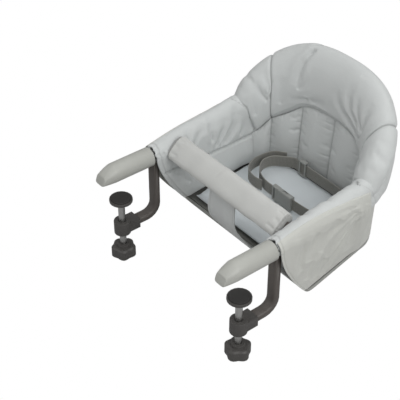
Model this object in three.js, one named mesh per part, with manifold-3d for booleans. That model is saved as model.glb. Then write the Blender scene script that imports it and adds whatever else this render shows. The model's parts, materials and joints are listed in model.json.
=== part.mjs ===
// Hook-on table chair for a small child, at its real size in millimetres.
// +Z is up, the table top is z = 0 and its edge is y = 0.
// The two grips lie on the table towards -Y and the seat hangs behind the edge towards +Y.
// x = 0 is the middle plane. Pieces on the +X side are named right, their mirror images left.
import * as THREE from "three";
import { mergeVertices } from "three/addons/utils/BufferGeometryUtils.js";
import Module from "manifold-3d";

const wasm = await Module();
wasm.setup();

// Fits and cuts
const fitGap = 0.3;
const cutOverrun = 4;

// Side rails: one steel tube per side, from the grip to the backrest hinge
const armSpacing = 340;
const railRadius = 12.5;
const tubeWall = 1.5;
const railFrontY = -78;
const railKinkY = 10;
const railRearY = 230;
const railRearRise = 14;

// Grips: moulded covers over the front ends of the rails
const gripRadius = 18.6;
const gripFlatDepth = 0.6;
const gripReach = 105.5;
const gripRearY = 8;
const gripNoseLength = 32;

// Clamp legs and the nut blocks at their ends
const legWidth = 22;
const legDepth = 14;
const legY = 17;
const legBendRadius = 24;
const lowerArmDrop = 113;
const lowerArmEndY = -44;
const clampScrewY = -60;
const nutBlockRadius = 16;
const nutBlockHeight = 28;
const nutSleeveWall = 3;
const nutSleeveLength = 16;

// Clamp screws, knobs, cups and pads
const screwRadius = 6.5;
const tableThickness = 45;
const padRadius = 19;
const padThickness = 5;
const padProud = 2;
const cupRadius = 22;
const cupHeight = 14;
const cupWall = 2.5;
const tipDepth = 5;
const padRiseTravel = 25;
const knobTopClearance = 1;
const knobHeight = 30;
const knobRadius = 24;
const knobLobes = 5;
const knobLobeShare = 0.09;
const knobBevel = 3;
const knobSocketDepth = 18;
const knobNeckRadius = 13;
const knobNeckHeight = 6;

// Backrest hoop and its hinge
const hingeY = 246;
const hingeHeight = 72;
const hoopRadius = 8;
const hoopTopHeight = 171;
const hoopTopY = 330;
const hoopArchDrop = 68;
const hoopStart = 24;
const knuckleRadius = 9;
const knuckleWidth = 17;
const pinRadius = 3;
const pinHeadRadius = 5.5;
const pinHeadHeight = 2;
const bracketWidth = 30;
const bracketRadius = 11;
const bracketBaseLength = 31;
const bracketHeel = 4;
const forkDepth = 17;
const rivetRadius = 2.5;
const rivetHeadRadius = 4.5;
const rivetHeadHeight = 1.8;
const rivetSetback = 16;

// Padded cover of the side rails and side walls
const coverFrontY = 12;
const coverRearY = 198;
const rollRadiusFront = 19;
const rollRadiusRear = 23;
const rollCrown = 9;
const wallInset = 21;
const wallThickness = 8;
const wallTaper = 6;
const wallPuff = 3;
const wallFootHeight = -97;
const edgeTopHeight = 20;

// Seat base: board, edge binding and cushion
const baseHeight = -114;
const baseRise = 30;
const boardThickness = 6;
const baseFrontY = 87;
const baseRearY = 306;
const baseFrontFlare = 13;
const baseRearFlare = 2;
const baseCornerY = 225;
const baseFrontCorner = 12;
const bindingThickness = 2.5;
const bindingHeight = 8;
const cushionFrontHeight = -88;
const cushionRearHeight = -61;
const cushionCrown = 6;
const cushionRim = 9;
const cushionFrontY = 92;

// Outer fabric: side panels and rear panel
const panelThickness = 2.5;
const panelFold = 2.2;
const rearPanelTop = 54;
const rearPanelSideTop = 6;
const rearTopY = 316;

// Quilted liner of the back wall below the hinge line
const linerThickness = 11;
const linerRearY = 299;
const linerFootRearY = 289;
const linerCornerInset = 25;
const linerFoot = -94;
const linerTop = 50;
const quiltCrown = 5;

// Padded cover of the backrest
const hoopRollRadius = 18;
const hoopRollStart = 17;
const webThickness = 12;
const webBottom = 60;
const webSag = 4;
const webCrown = 2;
const webSwell = 8;

// Padded sleeves over the two hinges
const gaiterLowPadding = 7;
const gaiterHighPadding = 4;

// Front bar and its padded sleeve
const barY = 54;
const barHeight = 30;
const barTilt = 42;
const barWidth = 50;
const barThickness = 27;
const barCoreWidth = 22;
const barCoreThickness = 8;
const barCoreInset = 9;
const barSleeveInset = 23.5;
const barEndShrink = 3;

// Crotch panel between the bar and the seat
const crotchTopHalfWidth = 34;
const crotchFootHalfWidth = 46;
const crotchThickness = 3;
const crotchTopY = 43;
const crotchTopHeight = 8.6;
const crotchMidY = 43;
const crotchMidHeight = -42;
const crotchFootHeight = -111;

// Harness: webbing, slider and buckle
const webbingWidth = 25;
const webbingThickness = 1.6;
const strapSpacing = 2.2;
const strapReach = 100;
const strapStraight = 24;
const sliderX = -28;
const sliderY = 268;
const sliderZ = -48;
const sliderLength = 18;
const sliderHeight = 33;
const sliderBar = 3.2;
const sliderRail = 3.4;
const buckleY = 180;
const buckleZ = -52;
const buckleX = 20;
const socketLength = 34;
const buckleHeight = 32;
const buckleThickness = 11;
const buckleWall = 2;
const tongueLength = 17;
const tongueReach = 24;
const prongWidth = 5;
const slotWidth = 4.5;

// Fineness of the round and soft surfaces
const roundSides = 20;
const gripSides = 24;
const pinSides = 12;
const tubeSides = 12;
const hoopSteps = 22;
const bendSteps = 5;
const cornerSegments = 1;
const lobeSteps = 8;
const beltSteps = 40;
const returnSteps = 24;
const fixedStrapSteps = 12;

// Shares and angles that shape the soft forms
const edgeCurveShare = 1.6;
const lipAngle = -25;
const hoopSquareness = 2.57;
const planSquareness = 2.4;
const pillShare = 0.75;
const foldRays = 9;
const rearFolds = 5;
const quiltSeamShares = [0, 0.3, 0.745, 1];
const rearRiseShare = 0.38;
const webEdgeShare = 0.1;
const bracketLinerShare = 0.43;
const rimRiseShare = 7;
const cushionTailShare = 0.05;
const drawnShare = 0.97;
const tinyShare = 1e-6;
const slopeShare = 0.001;
const windowShare = 0.6;
const middleProngShare = 0.8;
const barStopShares = [-1, -0.97, -0.6, 0, 0.6, 0.97, 1];
const cushionStopShares = [0, 0.04, 0.12, 0.24, 0.38, 0.5, 0.62, 0.76, 0.88, 0.96, 1];
const beltRightShares = [
  [1.27, 2.47, -0.46],
  [0.95, 2.61, -0.46],
  [0.6, 2.67, -0.47],
  [0.25, 2.68, -0.48],
];
const beltLoopShares = [
  [-0.68, 2.54, -0.47],
  [-0.83, 2.38, -0.47],
  [-0.87, 2.2, -0.48],
  [-0.8, 2.04, -0.49],
  [-0.66, 1.91, -0.51],
  [-0.48, 1.83, -0.52],
];
const returnShares = [
  [-0.72, 2.66, -0.46],
  [-0.92, 2.5, -0.46],
  [-1, 2.24, -0.47],
  [-0.98, 1.98, -0.48],
  [-0.84, 1.78, -0.5],
  [-0.6, 1.72, -0.52],
  [-0.42, 1.75, -0.52],
];
const fixedStrapShares = [
  [0.84, 1.84, -0.53],
  [1.12, 1.96, -0.55],
  [1.38, 2.12, -0.58],
];
const sideShare = 0.14;
const crownRiseShare = 0.45;
const noseShares = [
  { along: 0, width: 1, low: 0, high: 1, square: 1 },
  { along: 0.1, width: 0.98, low: 0.01, high: 0.97, square: 0.96 },
  { along: 0.45, width: 0.87, low: 0.06, high: 0.83, square: 0.8 },
  { along: 0.8, width: 0.74, low: 0.11, high: 0.68, square: 0.62 },
  { along: 0.96, width: 0.68, low: 0.14, high: 0.61, square: 0.54 },
  { along: 1, width: 0.62, low: 0.18, high: 0.55, square: 0.52 },
];
const noseSlantShare = 0.18;

const armX = armSpacing / 2;
const wallInnerX = armX - wallInset;
const linerCornerHalfWidth = armX - linerCornerInset;
const baseFrontHalfWidth = armX + baseFrontFlare;
const baseRearHalfWidth = armX + baseRearFlare;
const baseSlope = baseRise / (baseRearY - baseFrontY);
const barCoreHalfLength = armX - barCoreInset;
const barSleeveHalfLength = armX - barSleeveInset;
const gripAxis = gripRadius - gripFlatDepth;
const gaiterRadiusLow = bracketWidth / 2 + gaiterLowPadding;
const gaiterRadiusHigh = bracketWidth / 2 + gaiterHighPadding;
const barTurn = THREE.MathUtils.degToRad(barTilt);
const padTop = -tableThickness;
const padBottom = padTop - padThickness;
const cupTop = padTop - padProud;
const cupBottom = cupTop - cupHeight;
const nutBottom = -lowerArmDrop - nutBlockHeight / 2;
const knobTop = nutBottom - padRiseTravel - knobTopClearance;
const hoopLength = Math.hypot(hoopTopY - hingeY, hoopTopHeight - hingeHeight);
const hoopUp = new THREE.Vector3(0, hoopTopY - hingeY, hoopTopHeight - hingeHeight).normalize();
const hoopBack = new THREE.Vector3(0, hoopUp.z, -hoopUp.y);

// Small measures of place and blend
function mix(from, to, share) {
  return from + (to - from) * share;
}

function clampShare(value) {
  return Math.min(Math.max(value, 0), 1);
}

function evenStops(count) {
  return Array.from({ length: count + 1 }, (_, i) => i / count);
}

// Height of the rail's axis at a distance behind the table edge
function railAxisZ(y) {
  return gripAxis + railRearRise * Math.max((y - railKinkY) / (railRearY - railKinkY), 0);
}

// Slanted front edge of the side walls: how far back it lies at a height
function frontEdgeY(z) {
  const drop = clampShare((edgeTopHeight - z) / (edgeTopHeight - baseHeight));
  return coverFrontY + (baseFrontY - coverFrontY) * drop ** edgeCurveShare;
}

function rollRadiusAt(share) {
  return mix(rollRadiusFront, rollRadiusRear, share);
}

// The padding stands higher over the rail than beside it
function rollCrownAt(share, angle) {
  const grown = Math.sin((Math.PI / 2) * clampShare(share / crownRiseShare));
  return rollCrown * grown * Math.max(Math.sin(angle), 0);
}

// Half width of the base at a distance behind the table edge
function baseHalfWidth(y) {
  return mix(baseFrontHalfWidth, baseRearHalfWidth, (y - baseFrontY) / (baseCornerY - baseFrontY));
}

// The base slopes: how much higher it lies than at its front edge
function baseLift(y) {
  return baseSlope * Math.max(y - baseFrontY, 0);
}

function lifted(point, share) {
  point.z += baseLift(point.y) * share;
  return point;
}

function tilted(geometry) {
  const shear = new THREE.Matrix4();
  shear.set(1, 0, 0, 0, 0, 1, 0, 0, 0, baseSlope, 1, -baseSlope * baseFrontY, 0, 0, 0, 1);
  return geometry.applyMatrix4(shear);
}

// Meshes as plain indexed bodies, solids for cutting and joining
function bareIndexed(geometry) {
  const bare = geometry.clone();
  bare.deleteAttribute("normal");
  bare.deleteAttribute("uv");
  return mergeVertices(bare);
}

function solidFrom(geometry) {
  const merged = bareIndexed(geometry);
  return new wasm.Manifold(
    new wasm.Mesh({
      numProp: 3,
      vertProperties: new Float32Array(merged.attributes.position.array),
      triVerts: new Uint32Array(merged.index.array),
    }),
  );
}

function geometryFrom(solid) {
  const mesh = solid.getMesh();
  const geometry = new THREE.BufferGeometry();
  geometry.setAttribute("position", new THREE.BufferAttribute(mesh.vertProperties, 3));
  geometry.setIndex(new THREE.BufferAttribute(mesh.triVerts, 1));
  return geometry;
}

function cut(geometry, ...cutters) {
  let solid = solidFrom(geometry);
  for (const cutter of cutters) {
    solid = solid.subtract(solidFrom(cutter));
  }
  return geometryFrom(solid);
}

function joined(...geometries) {
  let solid = solidFrom(geometries[0]);
  for (const geometry of geometries.slice(1)) {
    solid = solid.add(solidFrom(geometry));
  }
  return geometryFrom(solid);
}

function signedVolume(points, triangles) {
  const cross = new THREE.Vector3();
  let total = 0;
  for (const [a, b, c] of triangles) {
    total += points[a].dot(cross.crossVectors(points[b], points[c]));
  }
  return total;
}

// A closed body from its points and triangles, with the faces turned outwards
function bodyOf(points, triangles) {
  const outward = signedVolume(points, triangles) > 0;
  const geometry = new THREE.BufferGeometry();
  geometry.setAttribute("position", new THREE.Float32BufferAttribute(points.flatMap((p) => p.toArray()), 3));
  geometry.setIndex(triangles.flatMap(([a, b, c]) => (outward ? [a, b, c] : [a, c, b])));
  return geometry;
}

function addQuad(triangles, a, b, c, d) {
  triangles.push([a, b, c]);
  triangles.push([a, c, d]);
}

// A body lofted through closed rings of equal length, capped flat in x and z
function loft(rings) {
  const count = rings[0].length;
  const triangles = [];
  for (let ring = 0; ring < rings.length - 1; ring += 1) {
    for (let i = 0; i < count; i += 1) {
      const next = (i + 1) % count;
      const low = ring * count;
      addQuad(triangles, low + i, low + next, low + count + next, low + count + i);
    }
  }
  for (const ring of [0, rings.length - 1]) {
    const flat = rings[ring].map((p) => new THREE.Vector2(p.x, p.z));
    const windsLikeRing = THREE.ShapeUtils.area(flat) > 0;
    for (const face of THREE.ShapeUtils.triangulateShape(flat, [])) {
      const corners = face.map((corner) => ring * count + corner);
      triangles.push(windsLikeRing === ring > 0 ? corners : corners.reverse());
    }
  }
  return bodyOf(rings.flat(), triangles);
}

// A sheet or pad between a front and a back surface over the same grid
function slab(front, back, uStops, vStops) {
  const columns = uStops.length;
  const rows = vStops.length;
  const points = [];
  for (const surface of [front, back]) {
    for (const v of vStops) {
      for (const u of uStops) {
        points.push(surface(u, v));
      }
    }
  }
  const at = (side, i, j) => (side * rows + j) * columns + i;
  const triangles = [];
  for (let j = 0; j < rows - 1; j += 1) {
    for (let i = 0; i < columns - 1; i += 1) {
      addQuad(triangles, at(0, i, j), at(0, i + 1, j), at(0, i + 1, j + 1), at(0, i, j + 1));
      addQuad(triangles, at(1, i, j), at(1, i, j + 1), at(1, i + 1, j + 1), at(1, i + 1, j));
    }
  }
  for (let i = 0; i < columns - 1; i += 1) {
    addQuad(triangles, at(0, i, 0), at(1, i, 0), at(1, i + 1, 0), at(0, i + 1, 0));
    addQuad(triangles, at(0, i, rows - 1), at(0, i + 1, rows - 1), at(1, i + 1, rows - 1), at(1, i, rows - 1));
  }
  for (let j = 0; j < rows - 1; j += 1) {
    addQuad(triangles, at(0, 0, j), at(0, 0, j + 1), at(1, 0, j + 1), at(1, 0, j));
    addQuad(
      triangles,
      at(0, columns - 1, j),
      at(1, columns - 1, j),
      at(1, columns - 1, j + 1),
      at(0, columns - 1, j + 1),
    );
  }
  return bodyOf(points, triangles);
}

// The same body with its faces turned outwards
function facingOut(geometry) {
  const bare = bareIndexed(geometry);
  const places = bare.attributes.position;
  const points = Array.from({ length: places.count }, (_, i) =>
    new THREE.Vector3().fromBufferAttribute(places, i),
  );
  const index = bare.index.array;
  const triangles = [];
  for (let i = 0; i < index.length; i += 3) {
    triangles.push([index[i], index[i + 1], index[i + 2]]);
  }
  return bodyOf(points, triangles);
}

// The same piece on the other side of the middle plane
function mirrored(geometry) {
  return facingOut(geometry.clone().applyMatrix4(new THREE.Matrix4().makeScale(-1, 1, 1)));
}

// A path with one ring of a tube at each of its points
class RoutedPath extends THREE.Curve {
  constructor(points) {
    super();
    this.points = points;
  }

  getPoint(share) {
    const place = share * (this.points.length - 1);
    const low = Math.min(Math.floor(place), this.points.length - 2);
    return this.points[low].clone().lerp(this.points[low + 1], place - low);
  }

  getPointAt(share) {
    return this.getPoint(share);
  }

  getTangentAt(share) {
    const last = this.points.length - 1;
    const place = Math.round(share * last);
    const before = this.points[Math.max(place - 1, 0)];
    const after = this.points[Math.min(place + 1, last)];
    return after.clone().sub(before).normalize();
  }
}

function roundShape(radius, bore) {
  const shape = new THREE.Shape().absarc(0, 0, radius, 0, Math.PI * 2);
  if (bore) {
    shape.holes.push(new THREE.Path().absarc(0, 0, bore, 0, Math.PI * 2));
  }
  return shape;
}

function tubeAlong(points, shape, sides) {
  return new THREE.ExtrudeGeometry(shape, {
    extrudePath: new RoutedPath(points),
    steps: points.length - 1,
    curveSegments: sides / 2,
    bevelEnabled: false,
  });
}

// A polyline whose inner corners are rounded
function filleted(corners, radius, steps) {
  const route = [corners[0]];
  for (let i = 1; i < corners.length - 1; i += 1) {
    const inward = corners[i - 1].clone().sub(corners[i]).normalize();
    const outward = corners[i + 1].clone().sub(corners[i]).normalize();
    const half = inward.angleTo(outward) / 2;
    const start = corners[i].clone().addScaledVector(inward, radius / Math.tan(half));
    const bisector = inward.clone().add(outward).normalize();
    const centre = corners[i].clone().addScaledVector(bisector, radius / Math.sin(half));
    const axis = new THREE.Vector3().crossVectors(inward, outward).normalize();
    const swing = Math.PI - half * 2;
    for (let step = 0; step <= steps; step += 1) {
      const spoke = start.clone().sub(centre).applyAxisAngle(axis, (-swing * step) / steps);
      route.push(centre.clone().add(spoke));
    }
  }
  route.push(corners[corners.length - 1]);
  return route;
}

function roundedRect(width, height, radius) {
  const shape = new THREE.Shape();
  const x = width / 2;
  const y = height / 2;
  shape.moveTo(-x + radius, -y);
  shape.lineTo(x - radius, -y);
  shape.absarc(x - radius, -y + radius, radius, -Math.PI / 2, 0);
  shape.lineTo(x, y - radius);
  shape.absarc(x - radius, y - radius, radius, 0, Math.PI / 2);
  shape.lineTo(-x + radius, y);
  shape.absarc(-x + radius, y - radius, radius, Math.PI / 2, Math.PI);
  shape.lineTo(-x, -y + radius);
  shape.absarc(-x + radius, -y + radius, radius, Math.PI, Math.PI * 1.5);
  return shape;
}

// Shapes drawn in y and z are extruded along x, about a middle x
function plateAcrossX(shape, middleX, width, sides = pinSides) {
  const geometry = new THREE.ExtrudeGeometry(shape, {
    depth: width,
    curveSegments: sides / 2,
    bevelEnabled: false,
  });
  const axes = new THREE.Matrix4().makeBasis(
    new THREE.Vector3(0, 1, 0),
    new THREE.Vector3(0, 0, 1),
    new THREE.Vector3(1, 0, 0),
  );
  geometry.applyMatrix4(axes);
  return geometry.translate(middleX - width / 2, 0, 0);
}

// A turned body about a vertical axis, from its radii and heights
function turned(profile, x, y, sides = roundSides) {
  const points = profile.map(([radius, height]) => new THREE.Vector2(radius, height));
  const geometry = new THREE.LatheGeometry(points, sides);
  geometry.rotateX(Math.PI / 2).translate(x, y, 0);
  return facingOut(geometry);
}

function boxAt(sizeX, sizeY, sizeZ, x, y, z) {
  return new THREE.BoxGeometry(sizeX, sizeY, sizeZ).translate(x, y, z);
}

// A round bar along x
function pinAcross(radius, fromX, toX, y, z, sides = pinSides) {
  const geometry = new THREE.CylinderGeometry(radius, radius, toX - fromX, sides);
  geometry.rotateZ(Math.PI / 2);
  return geometry.translate((fromX + toX) / 2, y, z);
}

// A rod along the right rail's axis
function railRod(radius, fromY, toY, bore) {
  const stops = [fromY, railKinkY, toY].filter((y) => y >= fromY && y <= toY);
  const unique = stops.filter((y, i) => i === 0 || y > stops[i - 1]);
  const points = unique.map((y) => new THREE.Vector3(armX, y, railAxisZ(y)));
  return tubeAlong(points, roundShape(radius, bore), roundSides);
}

// A place in the plane of the backrest hoop: across, up along it, and back from it
function hoopPlace(x, up, back) {
  return new THREE.Vector3(x, hingeY, hingeHeight)
    .addScaledVector(hoopUp, up)
    .addScaledVector(hoopBack, back);
}

// The hoop is a flattened arch whose widest level lies below the hinge
function archAngle(up) {
  const share = (up + hoopArchDrop) / (hoopLength + hoopArchDrop);
  return Math.asin(share ** (hoopSquareness / 2));
}

function archPoint(angle, back = 0) {
  const power = 2 / hoopSquareness;
  const drop = hoopArchDrop / (hoopLength + hoopArchDrop);
  const widest = armX / (1 - drop ** hoopSquareness) ** (1 / hoopSquareness);
  const across = Math.sign(Math.cos(angle)) * Math.abs(Math.cos(angle)) ** power;
  const up = (hoopLength + hoopArchDrop) * Math.sin(angle) ** power - hoopArchDrop;
  return hoopPlace(widest * across, up, back);
}

function archAt(up) {
  return archPoint(archAngle(up));
}

function hoopRoute(startUp) {
  const start = archAngle(startUp);
  return evenStops(hoopSteps).map((v) => archPoint(mix(start, Math.PI - start, v)));
}

// Rails
function railTube() {
  const tube = railRod(railRadius, railFrontY, railRearY, railRadius - tubeWall);
  return cut(tube, rivetHole());
}

function rivetY() {
  return railRearY - rivetSetback;
}

function rivetHole() {
  const reach = bracketWidth / 2 + cutOverrun;
  return pinAcross(rivetRadius + fitGap, armX - reach, armX + reach, rivetY(), railAxisZ(rivetY()));
}

// Grips
function signedPower(value, power) {
  return Math.sign(value) * Math.abs(value) ** power;
}

function gripRing(y, { width, low, high, square }, slant) {
  const flatHalf = Math.sqrt(gripRadius ** 2 - gripAxis ** 2);
  const start = Math.asin(flatHalf / gripRadius) - Math.PI / 2;
  const sweep = Math.PI * 2 - (start + Math.PI / 2) * 2;
  const top = gripAxis + gripRadius;
  const ring = [];
  for (let i = 0; i < gripSides; i += 1) {
    const angle = start + (sweep * i) / (gripSides - 1);
    const rise = (gripAxis + gripRadius * signedPower(Math.sin(angle), square)) / top;
    const across = gripRadius * signedPower(Math.cos(angle), square) * width;
    ring.push(new THREE.Vector3(armX + across, y + slant * rise, mix(low, high, rise) * top));
  }
  return ring;
}

function grip() {
  const noseStart = -gripReach + gripNoseLength;
  const rings = [gripRing(gripRearY, noseShares[0], 0)];
  for (const section of noseShares) {
    const slant = gripNoseLength * noseSlantShare * section.along ** 2;
    rings.push(gripRing(noseStart - gripNoseLength * section.along, section, slant));
  }
  return cut(loft(rings), railRod(railRadius + fitGap, railFrontY - fitGap, gripRearY + cutOverrun));
}

// Clamp leg: down from the rail behind the table edge, then forward under the table
function clampLeg() {
  const route = filleted(
    [
      new THREE.Vector3(armX, legY, railAxisZ(legY)),
      new THREE.Vector3(armX, legY, -lowerArmDrop),
      new THREE.Vector3(armX, lowerArmEndY, -lowerArmDrop),
    ],
    legBendRadius,
    bendSteps,
  );
  const corner = legDepth / 3;
  const shape = roundedRect(legDepth, legWidth, corner);
  shape.holes.push(roundedRect(legDepth - tubeWall * 2, legWidth - tubeWall * 2, corner - tubeWall));
  const leg = tubeAlong(route, shape, cornerSegments * 2);
  return cut(leg, railRod(railRadius + fitGap, gripRearY, legY + legDepth + cutOverrun));
}

function nutBlock() {
  const boss = new THREE.CylinderGeometry(nutBlockRadius, nutBlockRadius, nutBlockHeight, roundSides);
  boss.rotateX(Math.PI / 2).translate(armX, clampScrewY, -lowerArmDrop);
  const sleeveWidth = legWidth + (nutSleeveWall + fitGap) * 2;
  const sleeveHeight = legDepth + (nutSleeveWall + fitGap) * 2;
  const sleeveRearY = lowerArmEndY + nutSleeveLength;
  const sleeve = boxAt(
    sleeveWidth,
    sleeveRearY - clampScrewY,
    sleeveHeight,
    armX,
    (sleeveRearY + clampScrewY) / 2,
    -lowerArmDrop,
  );
  const pocketFrontY = lowerArmEndY - fitGap;
  const pocketRearY = sleeveRearY + cutOverrun;
  const pocket = boxAt(
    legWidth + fitGap * 2,
    pocketRearY - pocketFrontY,
    legDepth + fitGap * 2,
    armX,
    (pocketFrontY + pocketRearY) / 2,
    -lowerArmDrop,
  );
  const bore = new THREE.CylinderGeometry(
    screwRadius + fitGap,
    screwRadius + fitGap,
    nutBlockHeight + cutOverrun,
    roundSides,
  );
  bore.rotateX(Math.PI / 2).translate(armX, clampScrewY, -lowerArmDrop);
  return cut(joined(boss, sleeve), pocket, bore);
}

function screwTip() {
  return cupBottom + tipDepth - fitGap;
}

function clampScrew() {
  const foot = knobTop - knobSocketDepth + fitGap;
  const chamfer = screwRadius / 4;
  return turned(
    [
      [0, foot],
      [screwRadius, foot],
      [screwRadius, screwTip() - chamfer],
      [screwRadius - chamfer, screwTip()],
      [0, screwTip()],
    ],
    armX,
    clampScrewY,
  );
}

function clampKnob() {
  const outline = new THREE.Shape();
  const steps = knobLobes * lobeSteps;
  const core = knobRadius - knobBevel;
  for (let i = 0; i < steps; i += 1) {
    const angle = (Math.PI * 2 * i) / steps;
    const radius = core * (1 - knobLobeShare + knobLobeShare * Math.cos(angle * knobLobes));
    const method = i === 0 ? "moveTo" : "lineTo";
    outline[method](radius * Math.cos(angle), radius * Math.sin(angle));
  }
  const lobedHeight = knobHeight - knobNeckHeight;
  const lobed = new THREE.ExtrudeGeometry(outline, {
    depth: lobedHeight - knobBevel * 2,
    bevelThickness: knobBevel,
    bevelSize: knobBevel,
    bevelSegments: 1,
  });
  lobed.translate(armX, clampScrewY, knobTop - knobHeight + knobBevel);
  const neck = turned(
    [
      [0, knobTop - knobHeight / 2],
      [knobNeckRadius, knobTop - knobHeight / 2],
      [knobNeckRadius, knobTop],
      [0, knobTop],
    ],
    armX,
    clampScrewY,
  );
  const socket = turned(
    [
      [0, knobTop - knobSocketDepth],
      [screwRadius + fitGap, knobTop - knobSocketDepth],
      [screwRadius + fitGap, knobTop + cutOverrun],
      [0, knobTop + cutOverrun],
    ],
    armX,
    clampScrewY,
  );
  return cut(joined(lobed, neck), socket);
}

function padCup() {
  const floor = padBottom - fitGap;
  const hub = screwRadius + cupWall * 1.5;
  const ceiling = cupBottom + tipDepth;
  return turned(
    [
      [0, floor],
      [padRadius + fitGap, floor],
      [padRadius + fitGap, cupTop],
      [cupRadius, cupTop],
      [cupRadius, floor - cupWall],
      [hub, cupBottom],
      [screwRadius + fitGap, cupBottom],
      [screwRadius + fitGap, ceiling],
      [0, ceiling],
    ],
    armX,
    clampScrewY,
  );
}

function clampPad() {
  const edge = padProud / 2;
  return turned(
    [
      [0, padBottom],
      [padRadius, padBottom],
      [padRadius, padTop - edge],
      [padRadius - edge, padTop],
      [0, padTop],
    ],
    armX,
    clampScrewY,
  );
}

// Hinge bracket: a socket over the end of the rail that rises into two ears
function hingeBracket() {
  const socketRadius = bracketWidth / 2;
  const frontY = railRearY - bracketBaseLength;
  const rearY = railRearY + bracketHeel;
  const shape = new THREE.Shape();
  shape.moveTo(frontY, railAxisZ(frontY) - socketRadius);
  shape.lineTo(rearY, railAxisZ(rearY) - socketRadius);
  shape.lineTo(hingeY + bracketRadius, hingeHeight);
  shape.absarc(hingeY, hingeHeight, bracketRadius, 0, Math.PI);
  shape.lineTo(hingeY - bracketRadius, hingeHeight - forkDepth);
  shape.lineTo(railRearY - socketRadius, railAxisZ(railRearY) + socketRadius);
  shape.lineTo(frontY, railAxisZ(frontY) + socketRadius);
  const body = plateAcrossX(shape, armX, bracketWidth);
  const fork = boxAt(
    knuckleWidth + fitGap * 2,
    bracketBaseLength * 2,
    forkDepth + bracketRadius + cutOverrun,
    armX,
    hingeY,
    hingeHeight + (bracketRadius + cutOverrun - forkDepth) / 2,
  );
  const socket = railRod(railRadius + fitGap, frontY - cutOverrun, railRearY + fitGap);
  const reach = bracketWidth / 2 + cutOverrun;
  const pinHole = pinAcross(pinRadius + fitGap, armX - reach, armX + reach, hingeY, hingeHeight);
  return cut(body, fork, socket, pinHole, rivetHole());
}

function hingePin() {
  const outer = bracketWidth / 2 + fitGap;
  const shaft = pinAcross(pinRadius, armX - outer - pinHeadHeight, armX + outer, hingeY, hingeHeight);
  const headIn = pinAcross(pinHeadRadius, armX - outer - pinHeadHeight, armX - outer, hingeY, hingeHeight);
  const headOut = pinAcross(pinHeadRadius, armX + outer, armX + outer + pinHeadHeight, hingeY, hingeHeight);
  return joined(shaft, headIn, headOut);
}

function bracketRivet() {
  const outer = bracketWidth / 2 + fitGap;
  const z = railAxisZ(rivetY());
  const shaft = pinAcross(rivetRadius, armX - bracketWidth / 2, armX + outer, rivetY(), z);
  const head = pinAcross(rivetHeadRadius, armX + outer, armX + outer + rivetHeadHeight, rivetY(), z);
  return joined(shaft, head);
}

// Lower end of the hoop: a knuckle on the hinge pin with a plug for the tube
function hoopEnd() {
  const knuckle = pinAcross(
    knuckleRadius,
    armX - knuckleWidth / 2,
    armX + knuckleWidth / 2,
    hingeY,
    hingeHeight,
  );
  const collar = tubeAlong([archAt(0), archAt(hoopStart - fitGap * 3)], roundShape(hoopRadius), tubeSides);
  const plug = tubeAlong(
    [archAt(0), ...hoopRoute(hoopStart).slice(0, 2)],
    roundShape(hoopRadius - tubeWall - fitGap * 2),
    tubeSides,
  );
  const reach = knuckleWidth / 2 + cutOverrun;
  const bore = pinAcross(pinRadius + fitGap, armX - reach, armX + reach, hingeY, hingeHeight);
  const earInner = armX - knuckleWidth / 2;
  const earSweep = pinAcross(
    bracketRadius + fitGap * 2,
    earInner - knuckleWidth,
    earInner,
    hingeY,
    hingeHeight,
    roundSides,
  );
  return cut(joined(knuckle, collar, plug), bore, earSweep);
}

function hoopTube() {
  return tubeAlong(hoopRoute(hoopStart), roundShape(hoopRadius, hoopRadius - tubeWall), tubeSides);
}

// Padded cover of the backrest: a roll round the hoop and a puffed panel below it
function webMiddle(u, v) {
  const turn = mix(sideShare + webEdgeShare * (0.5 - sideShare), 0.5, 1 - Math.abs(u));
  const plan = linerPlan(linerThickness / 2, linerTop);
  const foot = wrapPoint(u < 0 ? 1 - turn : turn, plan);
  const start = archAngle(hoopRollStart + hoopRollRadius / 2);
  const head = archPoint(u > 0 ? mix(Math.PI / 2, start, u) : mix(Math.PI / 2, Math.PI - start, -u));
  const place = new THREE.Vector3(foot.x, foot.y, webBottom).lerp(head, v);
  return place.add(new THREE.Vector3(0, webSag * Math.sin(Math.PI * v), 0));
}

function offsetFrom(surface, u, v, distance) {
  const step = slopeShare;
  const across = surface(Math.min(u + step, 1), v).sub(surface(Math.max(u - step, -1), v));
  const along = surface(u, Math.min(v + step, 1)).sub(surface(u, Math.max(v - step, 0)));
  return surface(u, v).addScaledVector(across.cross(along).normalize(), distance);
}

function backrestCover() {
  const puffs = 4;
  const stops = evenStops(puffs * 4).map((v) => v * 2 - 1);
  const crown = (u, v) => {
    const wave = Math.abs(Math.sin((Math.PI * puffs * (u + 1)) / 2));
    return webCrown * wave * Math.sin(Math.PI * v) + webSwell * Math.sin(Math.PI * v) ** 0.5;
  };
  const front = (u, v) => offsetFrom(webMiddle, u, v, webThickness / 2 + crown(u, v));
  const back = (u, v) => offsetFrom(webMiddle, u, v, -webThickness / 2);
  const sleeve = sleeveBody(fitGap * 2);
  const web = cut(slab(front, back, stops, evenStops(5)), sleeve, mirrored(sleeve));
  const roll = tubeAlong(hoopRoute(hoopRollStart), roundShape(hoopRollRadius), tubeSides);
  const boreRadius = hoopRadius + fitGap * 2;
  const bore = tubeAlong(hoopRoute(hoopRollStart - cutOverrun), roundShape(boreRadius), tubeSides);
  return cut(joined(roll, web), bore);
}

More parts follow.
